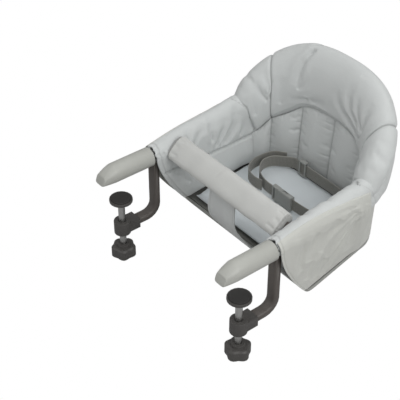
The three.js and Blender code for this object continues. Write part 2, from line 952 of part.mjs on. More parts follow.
// Padded sleeve from the side roll up over the hinge
function sleeveBody(extra) {
  const startY = coverRearY + fitGap;
  const curve = new THREE.CatmullRomCurve3([
    new THREE.Vector3(armX, startY, railAxisZ(startY)),
    new THREE.Vector3(armX, railRearY, railAxisZ(railRearY) + bracketHeel),
    archAt(0),
    archAt(hoopRollStart - fitGap * 2),
  ]);
  const route = curve.getSpacedPoints(bendSteps + 2);
  const rollRoute = hoopRoute(hoopRollStart);
  const sections = route.map((centre, i) => {
    const share = i / (route.length - 1);
    const tangent = i ? curve.getTangentAt(share) : new THREE.Vector3(0, 1, 0);
    if (i === route.length - 1) {
      tangent.subVectors(rollRoute[1], rollRoute[0]).normalize();
    }
    const side = new THREE.Vector3(1, 0, 0).addScaledVector(tangent, -tangent.x).normalize();
    const out = side.clone().cross(tangent);
    const radius = mix(gaiterRadiusLow, gaiterRadiusHigh, share) + extra;
    return evenStops(tubeSides).slice(1).map((turn) => {
      const angle = turn * Math.PI * 2;
      return centre
        .clone()
        .addScaledVector(side, radius * Math.cos(angle))
        .addScaledVector(out, radius * Math.sin(angle));
    });
  });
  return loft(sections);
}

function hingeSleeve() {
  const inner = plateAcrossX(bracketClearance(), armX, bracketWidth + fitGap * 2);
  const pinReach = bracketWidth / 2 + pinHeadHeight + fitGap * 2;
  const pinRoom = pinAcross(pinHeadRadius + fitGap, armX - pinReach, armX + pinReach, hingeY, hingeHeight);
  const rivetZ = railAxisZ(rivetY());
  const rivetRoom = pinAcross(rivetHeadRadius + fitGap, armX, armX + pinReach, rivetY(), rivetZ);
  const bore = tubeAlong(
    [archAt(0), archAt(hoopStart), archAt(hoopStart * 2)],
    roundShape(knuckleRadius + fitGap * 2),
    tubeSides,
  );
  const linerSide = boxAt(
    gaiterRadiusLow,
    bracketBaseLength * 3,
    linerTop * 2 + fitGap * 2,
    armX - bracketWidth / 2 - gaiterRadiusLow / 2,
    railRearY,
    0,
  );
  return cut(sleeveBody(0), inner, pinRoom, rivetRoom, bore, linerSide);
}

function bracketClearance() {
  const gap = fitGap;
  const radius = bracketWidth / 2 + gap;
  const frontY = coverRearY - cutOverrun;
  const rearY = railRearY + bracketHeel + gap;
  const shape = new THREE.Shape();
  shape.moveTo(frontY, railAxisZ(frontY) - radius);
  shape.lineTo(rearY, railAxisZ(rearY) - radius);
  shape.lineTo(hingeY + bracketRadius + gap, hingeHeight);
  shape.absarc(hingeY, hingeHeight, bracketRadius + gap, 0, Math.PI);
  shape.lineTo(hingeY - bracketRadius - gap, hingeHeight - forkDepth);
  shape.lineTo(railRearY - radius, railAxisZ(railRearY) + radius);
  shape.lineTo(frontY, railAxisZ(frontY) + radius);
  return shape;
}

// Padded cover over one side rail: a roll hooked over the tube, and the inner wall below it
function sideCover() {
  const wallStops = evenStops(4);
  const sweep = THREE.MathUtils.degToRad(180 - lipAngle);
  const boreStops = evenStops(7);
  const boreStep = sweep / (boreStops.length - 1) / 2;
  const rings = evenStops(9).map((share) => {
    const radius = rollRadiusAt(share);
    const rollY = mix(coverFrontY, coverRearY, share);
    const axis = railAxisZ(rollY);
    const place = (x, z) => {
      const y = mix(frontEdgeY(z), coverRearY, share);
      return new THREE.Vector3(x, y, z);
    };
    const taper = (z) => wallTaper * share * clampShare((axis - z) / (axis - wallFootHeight));
    const bore = (railRadius + fitGap) / Math.cos(boreStep);
    const ring = [];
    for (const v of wallStops) {
      const z = mix(wallFootHeight, axis, v);
      const puff = wallPuff * Math.sin(Math.PI * v) * Math.sin(Math.PI * clampShare(share));
      const x = mix(wallInnerX, armX - radius, v ** 3) - taper(z) - puff;
      ring.push(lifted(place(x, z), 1 - v));
    }
    for (const turn of evenStops(9).slice(1)) {
      const angle = Math.PI - sweep * turn;
      const rise = radius * Math.sin(angle) + rollCrownAt(share, angle);
      ring.push(place(armX + radius * Math.cos(angle), axis + rise));
    }
    for (const turn of boreStops) {
      const angle = Math.PI - sweep * (1 - turn);
      ring.push(place(armX + bore * Math.cos(angle), axis + bore * Math.sin(angle)));
    }
    for (const v of wallStops.slice(0, -1).reverse()) {
      const z = mix(wallFootHeight, axis, v);
      ring.push(lifted(place(wallInnerX + wallThickness - taper(z), z), 1 - v));
    }
    return ring;
  });
  return cut(loft(rings), barBody(barCoreWidth + fitGap * 2, barCoreThickness + fitGap * 2, armX));
}

// Plan of the wrapped sheets: along one side, round the rear corner, across the back
function wrapPoint(turn, { startX, startY, cornerX, cornerY, rearY }) {
  const share = turn > 0.5 ? 1 - turn : turn;
  const flip = turn > 0.5 ? -1 : 1;
  if (share < sideShare) {
    const along = share / sideShare;
    return new THREE.Vector2(flip * mix(startX, cornerX, along), mix(startY, cornerY, along));
  }
  const angle = ((share - sideShare) / (0.5 - sideShare)) * (Math.PI / 2);
  const power = 2 / planSquareness;
  return new THREE.Vector2(
    flip * cornerX * Math.max(Math.cos(angle), 0) ** power,
    cornerY + (rearY - cornerY) * Math.sin(angle) ** power,
  );
}

function mixPlans(low, high, share) {
  const plan = {};
  for (const key of Object.keys(low)) {
    plan[key] = mix(low[key], high[key], share);
  }
  return plan;
}

// Outer side panel: woven cloth from under the roll down to the base
function sidePanel() {
  const surface = (inset) => (u, v) => {
    const rollShare = u;
    const rollY = mix(coverFrontY, coverRearY, rollShare);
    const lip = THREE.MathUtils.degToRad(lipAngle);
    const radius = rollRadiusAt(rollShare);
    const topZ = railAxisZ(rollY) + radius * Math.sin(lip) - fitGap * 2;
    const topX = armX + radius * Math.cos(lip) + fitGap;
    const z = mix(baseHeight + boardThickness + fitGap, topZ, v);
    const y = mix(frontEdgeY(z), coverRearY, u);
    const footX = baseHalfWidth(Math.max(y, baseFrontY));
    const edge = Math.sin(Math.PI * v) * Math.min(1, 4 * (1 - u)) * Math.min(1, 4 * u);
    const ray = Math.atan2(topZ - z + panelThickness, coverRearY - y + panelThickness);
    const fold = panelFold * edge * Math.sin(ray * foldRays);
    return lifted(new THREE.Vector3(mix(footX, topX, v) - inset + fold, y, z), 1 - v);
  };
  return slab(surface(0), surface(panelThickness), evenStops(14), evenStops(7));
}

// Outer rear panel: the same cloth round the rear corners
function rearPanelTopAt(turn) {
  const share = turn > 0.5 ? 1 - turn : turn;
  const rise = clampShare((share - sideShare) / ((0.5 - sideShare) * rearRiseShare));
  return mix(rearPanelSideTop, rearPanelTop, rise ** 1.5);
}

function rearPanel() {
  const lip = THREE.MathUtils.degToRad(lipAngle);
  const foot = (inset) => ({
    startX: baseHalfWidth(coverRearY) - inset,
    startY: coverRearY + fitGap,
    cornerX: baseRearHalfWidth - inset,
    cornerY: baseCornerY,
    rearY: baseRearY - inset,
  });
  const head = (inset) => ({
    startX: armX + rollRadiusRear * Math.cos(lip) - inset,
    startY: coverRearY + fitGap,
    cornerX: armX - inset,
    cornerY: baseCornerY,
    rearY: rearTopY - inset,
  });
  const surface = (inset) => (u, v) => {
    const z = mix(baseHeight + boardThickness + fitGap, rearPanelTopAt(u), v);
    const level = (z - baseHeight) / (rearPanelTop - baseHeight);
    const place = wrapPoint(u, mixPlans(foot(inset), head(inset), level));
    const ripple = panelFold * Math.sin(Math.PI * v) * Math.sin(Math.PI * rearFolds * u) ** 2;
    const point = new THREE.Vector3(place.x * (1 - ripple / armX), place.y - ripple, z);
    return lifted(point, 1 - v);
  };
  return slab(surface(0), surface(panelThickness), wrapStops(), evenStops(5));
}

function wrapStops() {
  const side = evenStops(2).map((v) => mix(0, sideShare, v));
  const rear = evenStops(11).map((v) => mix(sideShare, 0.5, v));
  const right = [...side, ...rear.slice(1)];
  return [...right, ...right.slice(0, -1).map((v) => 1 - v).reverse()];
}

// Quilted liner of the back wall, from the seat up to the hinge line
function linerPlan(inset, z) {
  const low = clampShare((linerTop - z) / (linerTop - linerFoot));
  const taper = wallTaper * low;
  return {
    startX: wallInnerX - taper + inset,
    startY: coverRearY + fitGap,
    cornerX: linerCornerHalfWidth - taper + inset,
    cornerY: baseCornerY,
    rearY: mix(linerRearY, linerFootRearY, low) + inset,
  };
}

function backLiner() {
  const seams = [0, ...quiltSeamShares.map((share) => mix(sideShare, 0.5, share))];
  const right = seams.slice(0, -1).flatMap((seam, i) =>
    evenStops(3).slice(0, 3).map((v) => mix(seam, seams[i + 1], v)),
  );
  const uStops = [...right, 0.5, ...right.map((v) => 1 - v).reverse()];
  const crownShareAt = (u) => {
    const share = u > 0.5 ? 1 - u : u;
    const i = Math.min(seams.findLastIndex((seam) => seam <= share + tinyShare), seams.length - 2);
    return Math.sin(Math.PI * clampShare((share - seams[i]) / (seams[i + 1] - seams[i])));
  };
  const surface = (side) => (u, v) => {
    const share = u > 0.5 ? 1 - u : u;
    const z = mix(linerFoot, linerTop, v);
    const grown = clampShare((share - sideShare) / (0.5 - sideShare) / rearRiseShare);
    const thick = mix(bracketLinerShare, 1, grown) * linerThickness;
    const crown = quiltCrown * crownShareAt(u) * Math.sin(Math.PI * v) ** 0.5;
    const place = wrapPoint(u, linerPlan(side > 0 ? thick : -crown, z));
    return lifted(new THREE.Vector3(place.x, place.y, z), 1 - v);
  };
  return slab(surface(-1), surface(1), uStops, evenStops(6));
}

// Plan outline of the base, drawn in by an inset
function baseOutline(inset) {
  const front = baseFrontHalfWidth - inset;
  const frontY = baseFrontY + inset;
  const corner = Math.max(baseFrontCorner - inset, fitGap);
  const plan = {
    startX: front,
    startY: frontY + corner,
    cornerX: baseRearHalfWidth - inset,
    cornerY: baseCornerY,
    rearY: baseRearY - inset,
  };
  const shape = new THREE.Shape();
  shape.moveTo(-front + corner, frontY);
  shape.lineTo(front - corner, frontY);
  shape.quadraticCurveTo(front, frontY, front, frontY + corner);
  const stops = wrapStops().slice(2, -2);
  for (const turn of stops) {
    const place = wrapPoint(turn, plan);
    shape.lineTo(place.x, place.y);
  }
  shape.lineTo(-front, frontY + corner);
  shape.quadraticCurveTo(-front, frontY, -front + corner, frontY);
  return shape;
}

function layer(shape, bottom, height) {
  const geometry = new THREE.ExtrudeGeometry(shape, {
    depth: height,
    curveSegments: bendSteps,
    bevelEnabled: false,
  });
  return geometry.translate(0, 0, bottom);
}

function seatBoard() {
  return tilted(layer(baseOutline(bindingThickness + fitGap), baseHeight, boardThickness));
}

function edgeBinding() {
  const shape = baseOutline(0);
  shape.holes.push(new THREE.Path(baseOutline(bindingThickness).getPoints(bendSteps)));
  return tilted(layer(shape, baseHeight + boardThickness - bindingHeight, bindingHeight));
}

// Seat cushion: crowned, lying on the sloping base, with drawn-in sides
function seatCushion() {
  const boardTop = baseHeight + boardThickness + fitGap;
  const gap = fitGap * 2;
  const rearY = linerFootRearY - quiltCrown - gap;
  const halfWidthAt = (y) => {
    const side = linerCornerHalfWidth - wallTaper - wallPuff - gap;
    const back = clampShare((y - baseCornerY) / (rearY - baseCornerY));
    return side * Math.max(1 - back ** planSquareness, cushionTailShare) ** (1 / planSquareness);
  };
  const rim = (u, v) => {
    const inside = Math.min(1 - Math.abs(u * 2 - 1), 1 - Math.abs(v * 2 - 1));
    return Math.min(1, rimRiseShare * inside);
  };
  const surface = (top) => (u, v) => {
    const y = mix(cushionFrontY, rearY, v);
    const bottom = boardTop + baseLift(y);
    const draw = top ? 1 : drawnShare;
    const x = (u * 2 - 1) * halfWidthAt(y) * draw;
    const edge = Math.sqrt(rim(u, v));
    const height = mix(cushionFrontHeight, cushionRearHeight, v) - cushionCrown;
    const low = bottom + (cushionRim * (1 - edge)) / 2;
    const crown = cushionCrown * Math.sin(Math.PI * u) * Math.sin(Math.PI * v);
    return new THREE.Vector3(x, y, top ? mix(bottom + cushionRim, height + crown, edge) : low);
  };
  return slab(surface(true), surface(false), cushionStopShares, cushionStopShares);
}

// Front bar: a flat core welded between the rails, and its padded sleeve
function barBody(width, thickness, halfLength) {
  const bar = boxAt(halfLength * 2, width, thickness, 0, 0, 0);
  return bar.rotateX(barTurn).translate(0, barY, barHeight);
}

function barCore() {
  const rightRail = railRod(railRadius + fitGap, gripRearY, barY * 2);
  return cut(barBody(barCoreWidth, barCoreThickness, barCoreHalfLength), rightRail, mirrored(rightRail));
}

function barSleeve() {
  const rings = barStopShares.map((share) => {
    const end = Math.abs(share) === 1 ? barEndShrink : 0;
    const a = barWidth / 2 - end;
    const b = barThickness / 2 - end;
    return evenStops(roundSides).slice(1).map((turn) => {
      const angle = turn * Math.PI * 2;
      const along = a * signedPower(Math.cos(angle), pillShare);
      const across = b * signedPower(Math.sin(angle), pillShare);
      return new THREE.Vector3(along, across, share * barSleeveHalfLength);
    });
  });
  const sleeve = loftAlongBar(rings);
  return cut(sleeve, barBody(barCoreWidth + fitGap * 2, barCoreThickness + fitGap * 2, armX));
}

// Rings drawn across the bar become a body along x, tilted as the bar is
function loftAlongBar(rings) {
  const tilt = new THREE.Vector3(0, Math.cos(barTurn), Math.sin(barTurn));
  const normal = new THREE.Vector3(0, -Math.sin(barTurn), Math.cos(barTurn));
  const axis = new THREE.Vector3(1, 0, 0);
  const matrix = new THREE.Matrix4().makeBasis(tilt, normal, axis).setPosition(0, barY, barHeight);
  const flat = rings.map((ring) => ring.map((p) => new THREE.Vector3(p.x, p.z, p.y)));
  const geometry = loft(flat);
  const swap = new THREE.Matrix4().makeBasis(
    new THREE.Vector3(1, 0, 0),
    new THREE.Vector3(0, 0, 1),
    new THREE.Vector3(0, 1, 0),
  );
  geometry.applyMatrix4(swap);
  geometry.applyMatrix4(matrix);
  return facingOut(geometry);
}

// Crotch panel: cloth from under the bar down and back to the front of the seat
function crotchPanel() {
  const footY = baseFrontY - crotchThickness / 2 - fitGap;
  const curve = new THREE.SplineCurve([
    new THREE.Vector2(crotchTopY, crotchTopHeight),
    new THREE.Vector2(crotchMidY, crotchMidHeight),
    new THREE.Vector2(footY, crotchFootHeight),
  ]);
  const surface = (side) => (u, v) => {
    const place = curve.getPoint(v);
    const tangent = curve.getTangent(v);
    const half = mix(crotchTopHalfWidth, crotchFootHalfWidth, v);
    const offset = (side * crotchThickness) / 2;
    return new THREE.Vector3((u * 2 - 1) * half, place.x + tangent.y * offset, place.y - tangent.x * offset);
  };
  return slab(surface(1), surface(-1), evenStops(4), evenStops(8));
}

// Webbing on edge along a route of x, y and height
function webbing(route, steps) {
  const curve = new THREE.CatmullRomCurve3(route);
  const rings = [];
  for (let step = 0; step <= steps; step += 1) {
    const share = step / steps;
    const centre = curve.getPoint(share);
    const tangent = curve.getTangent(share);
    const side = new THREE.Vector3(-tangent.y, tangent.x, 0).normalize().multiplyScalar(webbingThickness / 2);
    const rise = new THREE.Vector3(0, 0, webbingWidth / 2);
    rings.push([
      centre.clone().sub(side).sub(rise),
      centre.clone().add(side).sub(rise),
      centre.clone().add(side).add(rise),
      centre.clone().sub(side).add(rise),
    ]);
  }
  return ringLoft(rings);
}

function ringLoft(rings) {
  const count = rings[0].length;
  const triangles = [];
  for (let ring = 0; ring < rings.length - 1; ring += 1) {
    for (let i = 0; i < count; i += 1) {
      const next = (i + 1) % count;
      const low = ring * count;
      addQuad(triangles, low + i, low + next, low + count + next, low + count + i);
    }
  }
  const last = (rings.length - 1) * count;
  addQuad(triangles, 3, 2, 1, 0);
  addQuad(triangles, last, last + 1, last + 2, last + 3);
  return bodyOf(rings.flat(), triangles);
}

// Routes of the webbing as it lies on the seat, in shares of the strap reach
function strapPlaces(shares) {
  return shares.map((place) => new THREE.Vector3(...place).multiplyScalar(strapReach));
}

function beltRoute() {
  return [
    ...strapPlaces(beltRightShares),
    new THREE.Vector3(sliderX + strapStraight, sliderY, sliderZ),
    new THREE.Vector3(sliderX, sliderY, sliderZ),
    new THREE.Vector3(sliderX - strapStraight / 2, sliderY, sliderZ),
    new THREE.Vector3(sliderX - strapStraight, sliderY, sliderZ),
    ...strapPlaces(beltLoopShares),
    new THREE.Vector3(tongueLeft() - tongueLength, buckleY, buckleZ),
    new THREE.Vector3(tongueLeft() - fitGap * 2, buckleY, buckleZ),
  ];
}

function returnRoute() {
  const rear = sliderY + strapSpacing;
  return [
    new THREE.Vector3(sliderX - strapStraight / 2, rear, sliderZ),
    new THREE.Vector3(sliderX - strapStraight, rear + webbingThickness / 2, sliderZ),
    ...strapPlaces(returnShares),
  ];
}

function fixedStrapRoute() {
  const right = buckleX + socketLength / 2;
  return [
    new THREE.Vector3(right + fitGap * 2, buckleY, buckleZ),
    new THREE.Vector3(right + tongueLength, buckleY, buckleZ),
    ...strapPlaces(fixedStrapShares),
  ];
}

// Webbing slider: two front bars and a rear bar between an upper and a lower rail
function strapSlider() {
  const depth = sliderRail * 2 + strapSpacing;
  const tunnelDepth = strapSpacing * 2 + webbingThickness / 2;
  const midY = sliderY + strapSpacing / 2;
  const innerHeight = sliderHeight - sliderRail * 2;
  const body = boxAt(sliderLength, depth, sliderHeight, sliderX, midY, sliderZ);
  const tunnel = boxAt(sliderLength + cutOverrun, tunnelDepth, innerHeight, sliderX, midY, sliderZ);
  const window = boxAt(sliderLength - sliderBar * 2, depth, innerHeight, sliderX, midY - depth / 2, sliderZ);
  const sideWindows = [-1, 1].map((side) =>
    boxAt(
      (sliderLength - sliderBar) / 2,
      depth,
      innerHeight,
      sliderX + (side * (sliderLength + sliderBar)) / 4 + side * fitGap,
      midY + depth / 2,
      sliderZ,
    ),
  );
  return cut(body, tunnel, window, ...sideWindows);
}

// Side-release buckle on edge: a socket, and a tongue that slides out towards -X
function socketLeft() {
  return buckleX - socketLength / 2;
}

function buckleSocket() {
  const shape = roundedRect(buckleThickness, buckleHeight, buckleThickness / 3);
  const body = plateAcrossX(shape, buckleX, socketLength, tubeSides / 2).translate(0, buckleY, buckleZ);
  const cavityLength = tongueReach + fitGap * 2;
  const cavity = boxAt(
    cavityLength + cutOverrun,
    buckleThickness - buckleWall * 2,
    buckleHeight - buckleWall * 2,
    socketLeft() + (cavityLength - cutOverrun) / 2,
    buckleY,
    buckleZ,
  );
  const window = boxAt(
    tongueReach / 2,
    buckleThickness / 2,
    buckleHeight + cutOverrun,
    socketLeft() + tongueReach * windowShare,
    buckleY,
    buckleZ,
  );
  return cut(body, cavity, window);
}

function tongueLeft() {
  return socketLeft() - fitGap - tongueLength;
}

function buckleTongue() {
  const left = tongueLeft();
  const baseHeightInner = buckleHeight - buckleWall * 2 - fitGap * 2;
  const thin = buckleThickness - buckleWall * 2 - fitGap * 2;
  const baseThickness = buckleThickness - buckleWall;
  const baseX = left + tongueLength / 2;
  const base = boxAt(tongueLength, baseThickness, buckleHeight, baseX, buckleY, buckleZ);
  const slot = boxAt(
    slotWidth,
    buckleThickness,
    webbingWidth + fitGap * 2,
    left + sliderBar + slotWidth / 2,
    buckleY,
    buckleZ,
  );
  const prong = (offset, length, width) =>
    boxAt(
      length + tongueLength / 3,
      thin,
      width,
      left + tongueLength + (length - tongueLength / 3) / 2,
      buckleY,
      buckleZ + offset,
    );
  const arm = baseHeightInner / 2 - prongWidth / 2;
  return cut(
    joined(
      base,
      prong(0, tongueReach * middleProngShare, prongWidth * middleProngShare),
      prong(arm, tongueReach, prongWidth),
      prong(-arm, tongueReach, prongWidth),
    ),
    slot,
  );
}

// Materials
function material(color, roughness, metalness = 0) {
  return new THREE.MeshStandardMaterial({ color, roughness, metalness });
}

const looks = {
  gripPlastic: () => material(0xb3b4af, 0.42),
  darkPaint: () => material(0x3f3935, 0.5, 0.4),
  steel: () => material(0xb9bbbc, 0.35, 1),
  darkPlastic: () => material(0x4a4744, 0.5),
  rubber: () => material(0x3a3836, 0.85),
  linerCloth: () => material(0xb4b9bb, 0.85),
  shellCloth: () => material(0xb6b7b1, 0.88),
  barCloth: () => material(0xc3c2c0, 0.8),
  seatCloth: () => material(0xa6abad, 0.82),
  board: () => material(0x666662, 0.85),
  webbing: () => material(0x7f7b73, 0.85),
  bucklePlastic: () => material(0x8c8e88, 0.45),
};

const chair = new THREE.Group();

function add(name, geometry, look) {
  const mesh = new THREE.Mesh(geometry, looks[look]());
  mesh.name = name;
  chair.add(mesh);
}

function addPair(name, geometry, look) {
  add(`${name}_right`, geometry, look);
  add(`${name}_left`, mirrored(geometry), look);
}

// Frame and clamps
addPair("rail_tube", railTube(), "steel");
addPair("grip", grip(), "gripPlastic");
addPair("clamp_leg", clampLeg(), "darkPaint");
addPair("nut_block", nutBlock(), "darkPlastic");
addPair("clamp_screw", clampScrew(), "steel");
addPair("clamp_knob", clampKnob(), "darkPlastic");
addPair("pad_cup", padCup(), "darkPlastic");
addPair("clamp_pad", clampPad(), "rubber");
add("bar_core", barCore(), "darkPaint");

// Backrest frame
addPair("hinge_bracket", hingeBracket(), "darkPaint");
addPair("hinge_pin", hingePin(), "steel");
addPair("bracket_rivet", bracketRivet(), "steel");
addPair("hoop_end", hoopEnd(), "darkPlastic");
add("hoop_tube", hoopTube(), "steel");

// Covers
add("backrest_cover", backrestCover(), "linerCloth");
addPair("hinge_sleeve", hingeSleeve(), "linerCloth");
addPair("side_cover", sideCover(), "linerCloth");
addPair("side_panel", sidePanel(), "shellCloth");
add("rear_panel", rearPanel(), "shellCloth");
add("back_liner", backLiner(), "linerCloth");
add("bar_sleeve", barSleeve(), "barCloth");
add("crotch_panel", crotchPanel(), "shellCloth");

// Seat base
add("seat_board", seatBoard(), "board");
add("edge_binding", edgeBinding(), "webbing");
add("seat_cushion", seatCushion(), "seatCloth");

// Harness
add("belt_strap", webbing(beltRoute(), beltSteps), "webbing");
add("return_strap", webbing(returnRoute(), returnSteps), "webbing");
add("fixed_strap", webbing(fixedStrapRoute(), fixedStrapSteps), "webbing");
add("strap_slider", strapSlider(), "bucklePlastic");
add("buckle_socket", buckleSocket(), "bucklePlastic");
add("buckle_tongue", buckleTongue(), "bucklePlastic");

export default chair;
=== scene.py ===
"""Looks of the hook on table chair: padded cloth, webbing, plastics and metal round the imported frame."""

import json
import math
from types import SimpleNamespace

import bpy
import numpy as np
from bpy.props import FloatProperty, FloatVectorProperty, PointerProperty
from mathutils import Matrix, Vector
from mathutils.bvhtree import BVHTree

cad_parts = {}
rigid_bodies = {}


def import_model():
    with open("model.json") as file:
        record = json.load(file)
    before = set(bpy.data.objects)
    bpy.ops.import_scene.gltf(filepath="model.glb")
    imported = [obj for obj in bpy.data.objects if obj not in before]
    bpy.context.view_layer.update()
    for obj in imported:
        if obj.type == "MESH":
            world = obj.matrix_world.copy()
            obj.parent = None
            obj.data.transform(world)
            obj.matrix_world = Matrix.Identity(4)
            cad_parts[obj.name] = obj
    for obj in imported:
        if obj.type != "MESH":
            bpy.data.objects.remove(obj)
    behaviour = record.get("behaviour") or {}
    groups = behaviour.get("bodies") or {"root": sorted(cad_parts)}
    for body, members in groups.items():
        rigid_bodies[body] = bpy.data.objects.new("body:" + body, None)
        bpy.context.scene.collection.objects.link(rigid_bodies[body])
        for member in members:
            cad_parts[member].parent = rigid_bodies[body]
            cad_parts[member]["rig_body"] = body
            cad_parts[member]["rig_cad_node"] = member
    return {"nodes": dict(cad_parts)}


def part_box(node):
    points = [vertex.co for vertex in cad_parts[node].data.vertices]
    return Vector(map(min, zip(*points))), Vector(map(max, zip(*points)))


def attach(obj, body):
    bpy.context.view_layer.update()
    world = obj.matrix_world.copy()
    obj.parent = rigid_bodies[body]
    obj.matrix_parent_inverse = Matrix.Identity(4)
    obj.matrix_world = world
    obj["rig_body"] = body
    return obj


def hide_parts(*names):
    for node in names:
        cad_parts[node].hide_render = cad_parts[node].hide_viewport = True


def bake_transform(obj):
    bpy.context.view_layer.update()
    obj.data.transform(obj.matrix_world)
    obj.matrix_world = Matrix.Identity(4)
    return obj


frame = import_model()

bl_info = {
    "name": "Hook on table chair",
    "version": (1, 0, 0),
    "blender": (4, 5, 0),
    "location": "View3D > Sidebar > Table chair",
    "description": "Builds the padded cloth, webbing, plastics and metal of a hook on table chair",
    "category": "Object",
}

MM = 0.001
# how far off a piece may lie that another is drawn to, and how thick the padding is that a line acts through
HUG_REACH = 16
LINE_REACH = 14


def srgb(code):
    """Linear colour of a hex code such as #B4B6B3."""
    channels = [int(code[i : i + 2], 16) / 255 for i in (1, 3, 5)]
    return tuple(c / 12.92 if c <= 0.04045 else ((c + 0.055) / 1.055) ** 2.4 for c in channels)


def length(name, description, default):
    return FloatProperty(name=name, description=description, default=default * MM, min=0.0, unit="LENGTH")


def signed(name, description, default):
    return FloatProperty(name=name, description=description, default=default * MM, unit="LENGTH")


def colour(name, description, code):
    return FloatVectorProperty(
        name=name, description=description, default=srgb(code), size=3, min=0.0, max=1.0, subtype="COLOR"
    )


class ChairSizes(bpy.types.PropertyGroup):
    """Sizes of the chair that the cloth is cut to."""

    arm_x: length("Arm", "Distance of each arm from the middle", 170)
    grip_axis: length("Arm height", "Height of the arm's axis above the tabletop", 18)
    arm_kink_y: length("Arm kink", "Where the arm starts to rise", 10)
    arm_rear_y: length("Arm rear", "Rear end of the arm", 230)
    arm_rise: length("Arm rise", "Rise of the arm to its rear end", 14)
    roll_front: length("Roll front", "Radius of the arm's roll at the front", 19)
    roll_rear: length("Roll rear", "Radius of the arm's roll at the rear", 23)
    roll_crown: length("Roll crown", "How much higher the padding stands over the arm than beside it", 9)
    cover_front_y: length("Cover front", "Front end of the arm covers", 12)
    cover_rear_y: length("Cover rear", "Where the arm's own tube cover ends", 198)
    wall_x: length("Wall", "Distance of the inner walls from the middle", 149)
    wall_taper: length("Wall taper", "How far the walls lean in at their foot", 6)
    wall_foot_z: signed("Wall foot", "Height of the foot of the inner walls", -97)
    base_z: signed("Base", "Height of the underside of the base at its front edge", -114)
    base_rise: length("Base rise", "Rise of the base from its front to its rear edge", 30)
    base_front_y: length("Base front", "Front edge of the base", 87)
    base_front_half: length("Base front width", "Half width of the base at the front", 183)
    base_rear_half: length("Base rear width", "Half width of the base at the rear", 172)
    base_rear_y: length("Base rear", "Rear edge of the base", 306)
    corner_y: length("Corner", "Where the rear corners start to turn", 225)
    hinge_y: length("Hinge", "Distance of the hinge behind the table edge", 246)
    hinge_z: length("Hinge height", "Height of the hinge", 72)
    hoop_top_y: length("Hoop top", "Distance of the hoop's top behind the table edge", 330)
    hoop_top_z: length("Hoop top height", "Height of the hoop's top", 171)
    hoop_drop: length("Hoop drop", "How far below the hinge the hoop's arch is widest", 68)
    liner_rear_y: length("Liner rear", "Front face of the back liner at the top", 299)
    liner_foot_y: length("Liner foot", "Front face of the back liner at the seat", 289)
    liner_corner: length("Liner corner", "Half width of the back liner at its corners", 145)
    bar_y: length("Bar", "Distance of the front bar behind the table edge", 54)
    bar_z: length("Bar height", "Height of the front bar's middle", 30)
    bar_wide: length("Bar width", "Width of the padded bar", 50)
    bar_thick: length("Bar thickness", "Thickness of the padded bar", 27)
    bar_half: length("Bar length", "Half length of the padded bar", 150.5)
    webbing_wide: length("Webbing width", "Width of the harness webbing", 25)
    webbing_thick: length("Webbing thickness", "Thickness of the harness webbing", 1.6)
    weave_pitch: length("Weave pitch", "Distance between two threads of the cloth", 0.55)


class ChairColours(bpy.types.PropertyGroup):
    """Colours of the chair's cloth, plastics and metal."""

    liner: colour("Liner", "Padded inner cloth", "#CBCECD")
    shell: colour("Shell", "Woven outer cloth", "#CCCDC7")
    binding: colour("Binding", "Tape round the base", "#A3A49F")
    bar: colour("Bar", "Cloth of the front bar", "#C7C8C5")
    seat: colour("Seat", "Cloth of the seat pad", "#D2D8DB")
    webbing: colour("Webbing", "Harness webbing", "#7B7A74")
    grip: colour("Grip", "Soft grip plastic", "#B2B3AD")
    buckle: colour("Buckle", "Buckle plastic", "#919390")
    dark: colour("Dark plastic", "Clamp plastic", "#4A4846")
    paint: colour("Paint", "Paint of the clamp legs", "#55504C")
    steel: colour("Steel", "Bright steel", "#B8B8B6")
    rubber: colour("Rubber", "Clamp pads", "#3A3938")
    board: colour("Board", "Cloth over the base board", "#666662")


def sizes():
    """The chair's sizes in millimetres."""
    group = bpy.context.scene.chair_sizes
    return SimpleNamespace(**{key: getattr(group, key) / MM for key in group.__annotations__})


def hand(side):
    return "right" if side > 0 else "left"


# Shape helpers


def clamp(t):
    return np.clip(t, 0.0, 1.0)


def smooth(t):
    t = clamp(t)
    return t * t * (3 - 2 * t)


def bell(t):
    return np.exp(-(t**2))


def hump(t):
    """Rises from nothing at 0 to full at a half and falls to nothing at 1."""
    return np.sin(np.pi * t)


def squared(value, power):
    """Bends a sine or cosine so that the round it draws turns squarer, with powers below 1."""
    return np.sign(value) * np.abs(value) ** power


def mix(a, b, t):
    return a + (b - a) * t


def unit(vectors):
    return vectors / np.maximum(np.linalg.norm(vectors, axis=-1, keepdims=True), 1e-9)


def coords(piece):
    flat = np.empty(len(piece.data.vertices) * 3)
    piece.data.vertices.foreach_get("co", flat)
    return flat.reshape(-1, 3)


def set_coords(piece, points):
    piece.data.vertices.foreach_set("co", np.ascontiguousarray(points, float).ravel())
    piece.data.update()


def normals(piece):
    flat = np.empty(len(piece.data.vertices) * 3)
    piece.data.vertices.foreach_get("normal", flat)
    return flat.reshape(-1, 3)


def note(piece, name, values):
    """Keeps one number for each point of the mesh, for its material."""
    found = piece.data.attributes.get(name) or piece.data.attributes.new(name, "FLOAT", "POINT")
    found.data.foreach_set("value", np.ascontiguousarray(values, np.float32))


def noted(piece, name):
    found = piece.data.attributes.get(name)
    values = np.zeros(len(piece.data.vertices), np.float32)
    if found:
        found.data.foreach_get("value", values)
    return values


def darken(piece, values):
    """Marks the points whose colour is painted darker: painted shade along seams, grooves, tucks and edges
    where pieces meet, and darker stitch rows and cuffs.
    """
    note(piece, "seam", np.maximum(noted(piece, "seam"), values))


def push(piece, rise):
    """Moves each point out along its normal, by its own rise in millimetres."""
    points, out = coords(piece) / MM, normals(piece)
    set_coords(piece, (points + out * rise[:, None]) * MM)


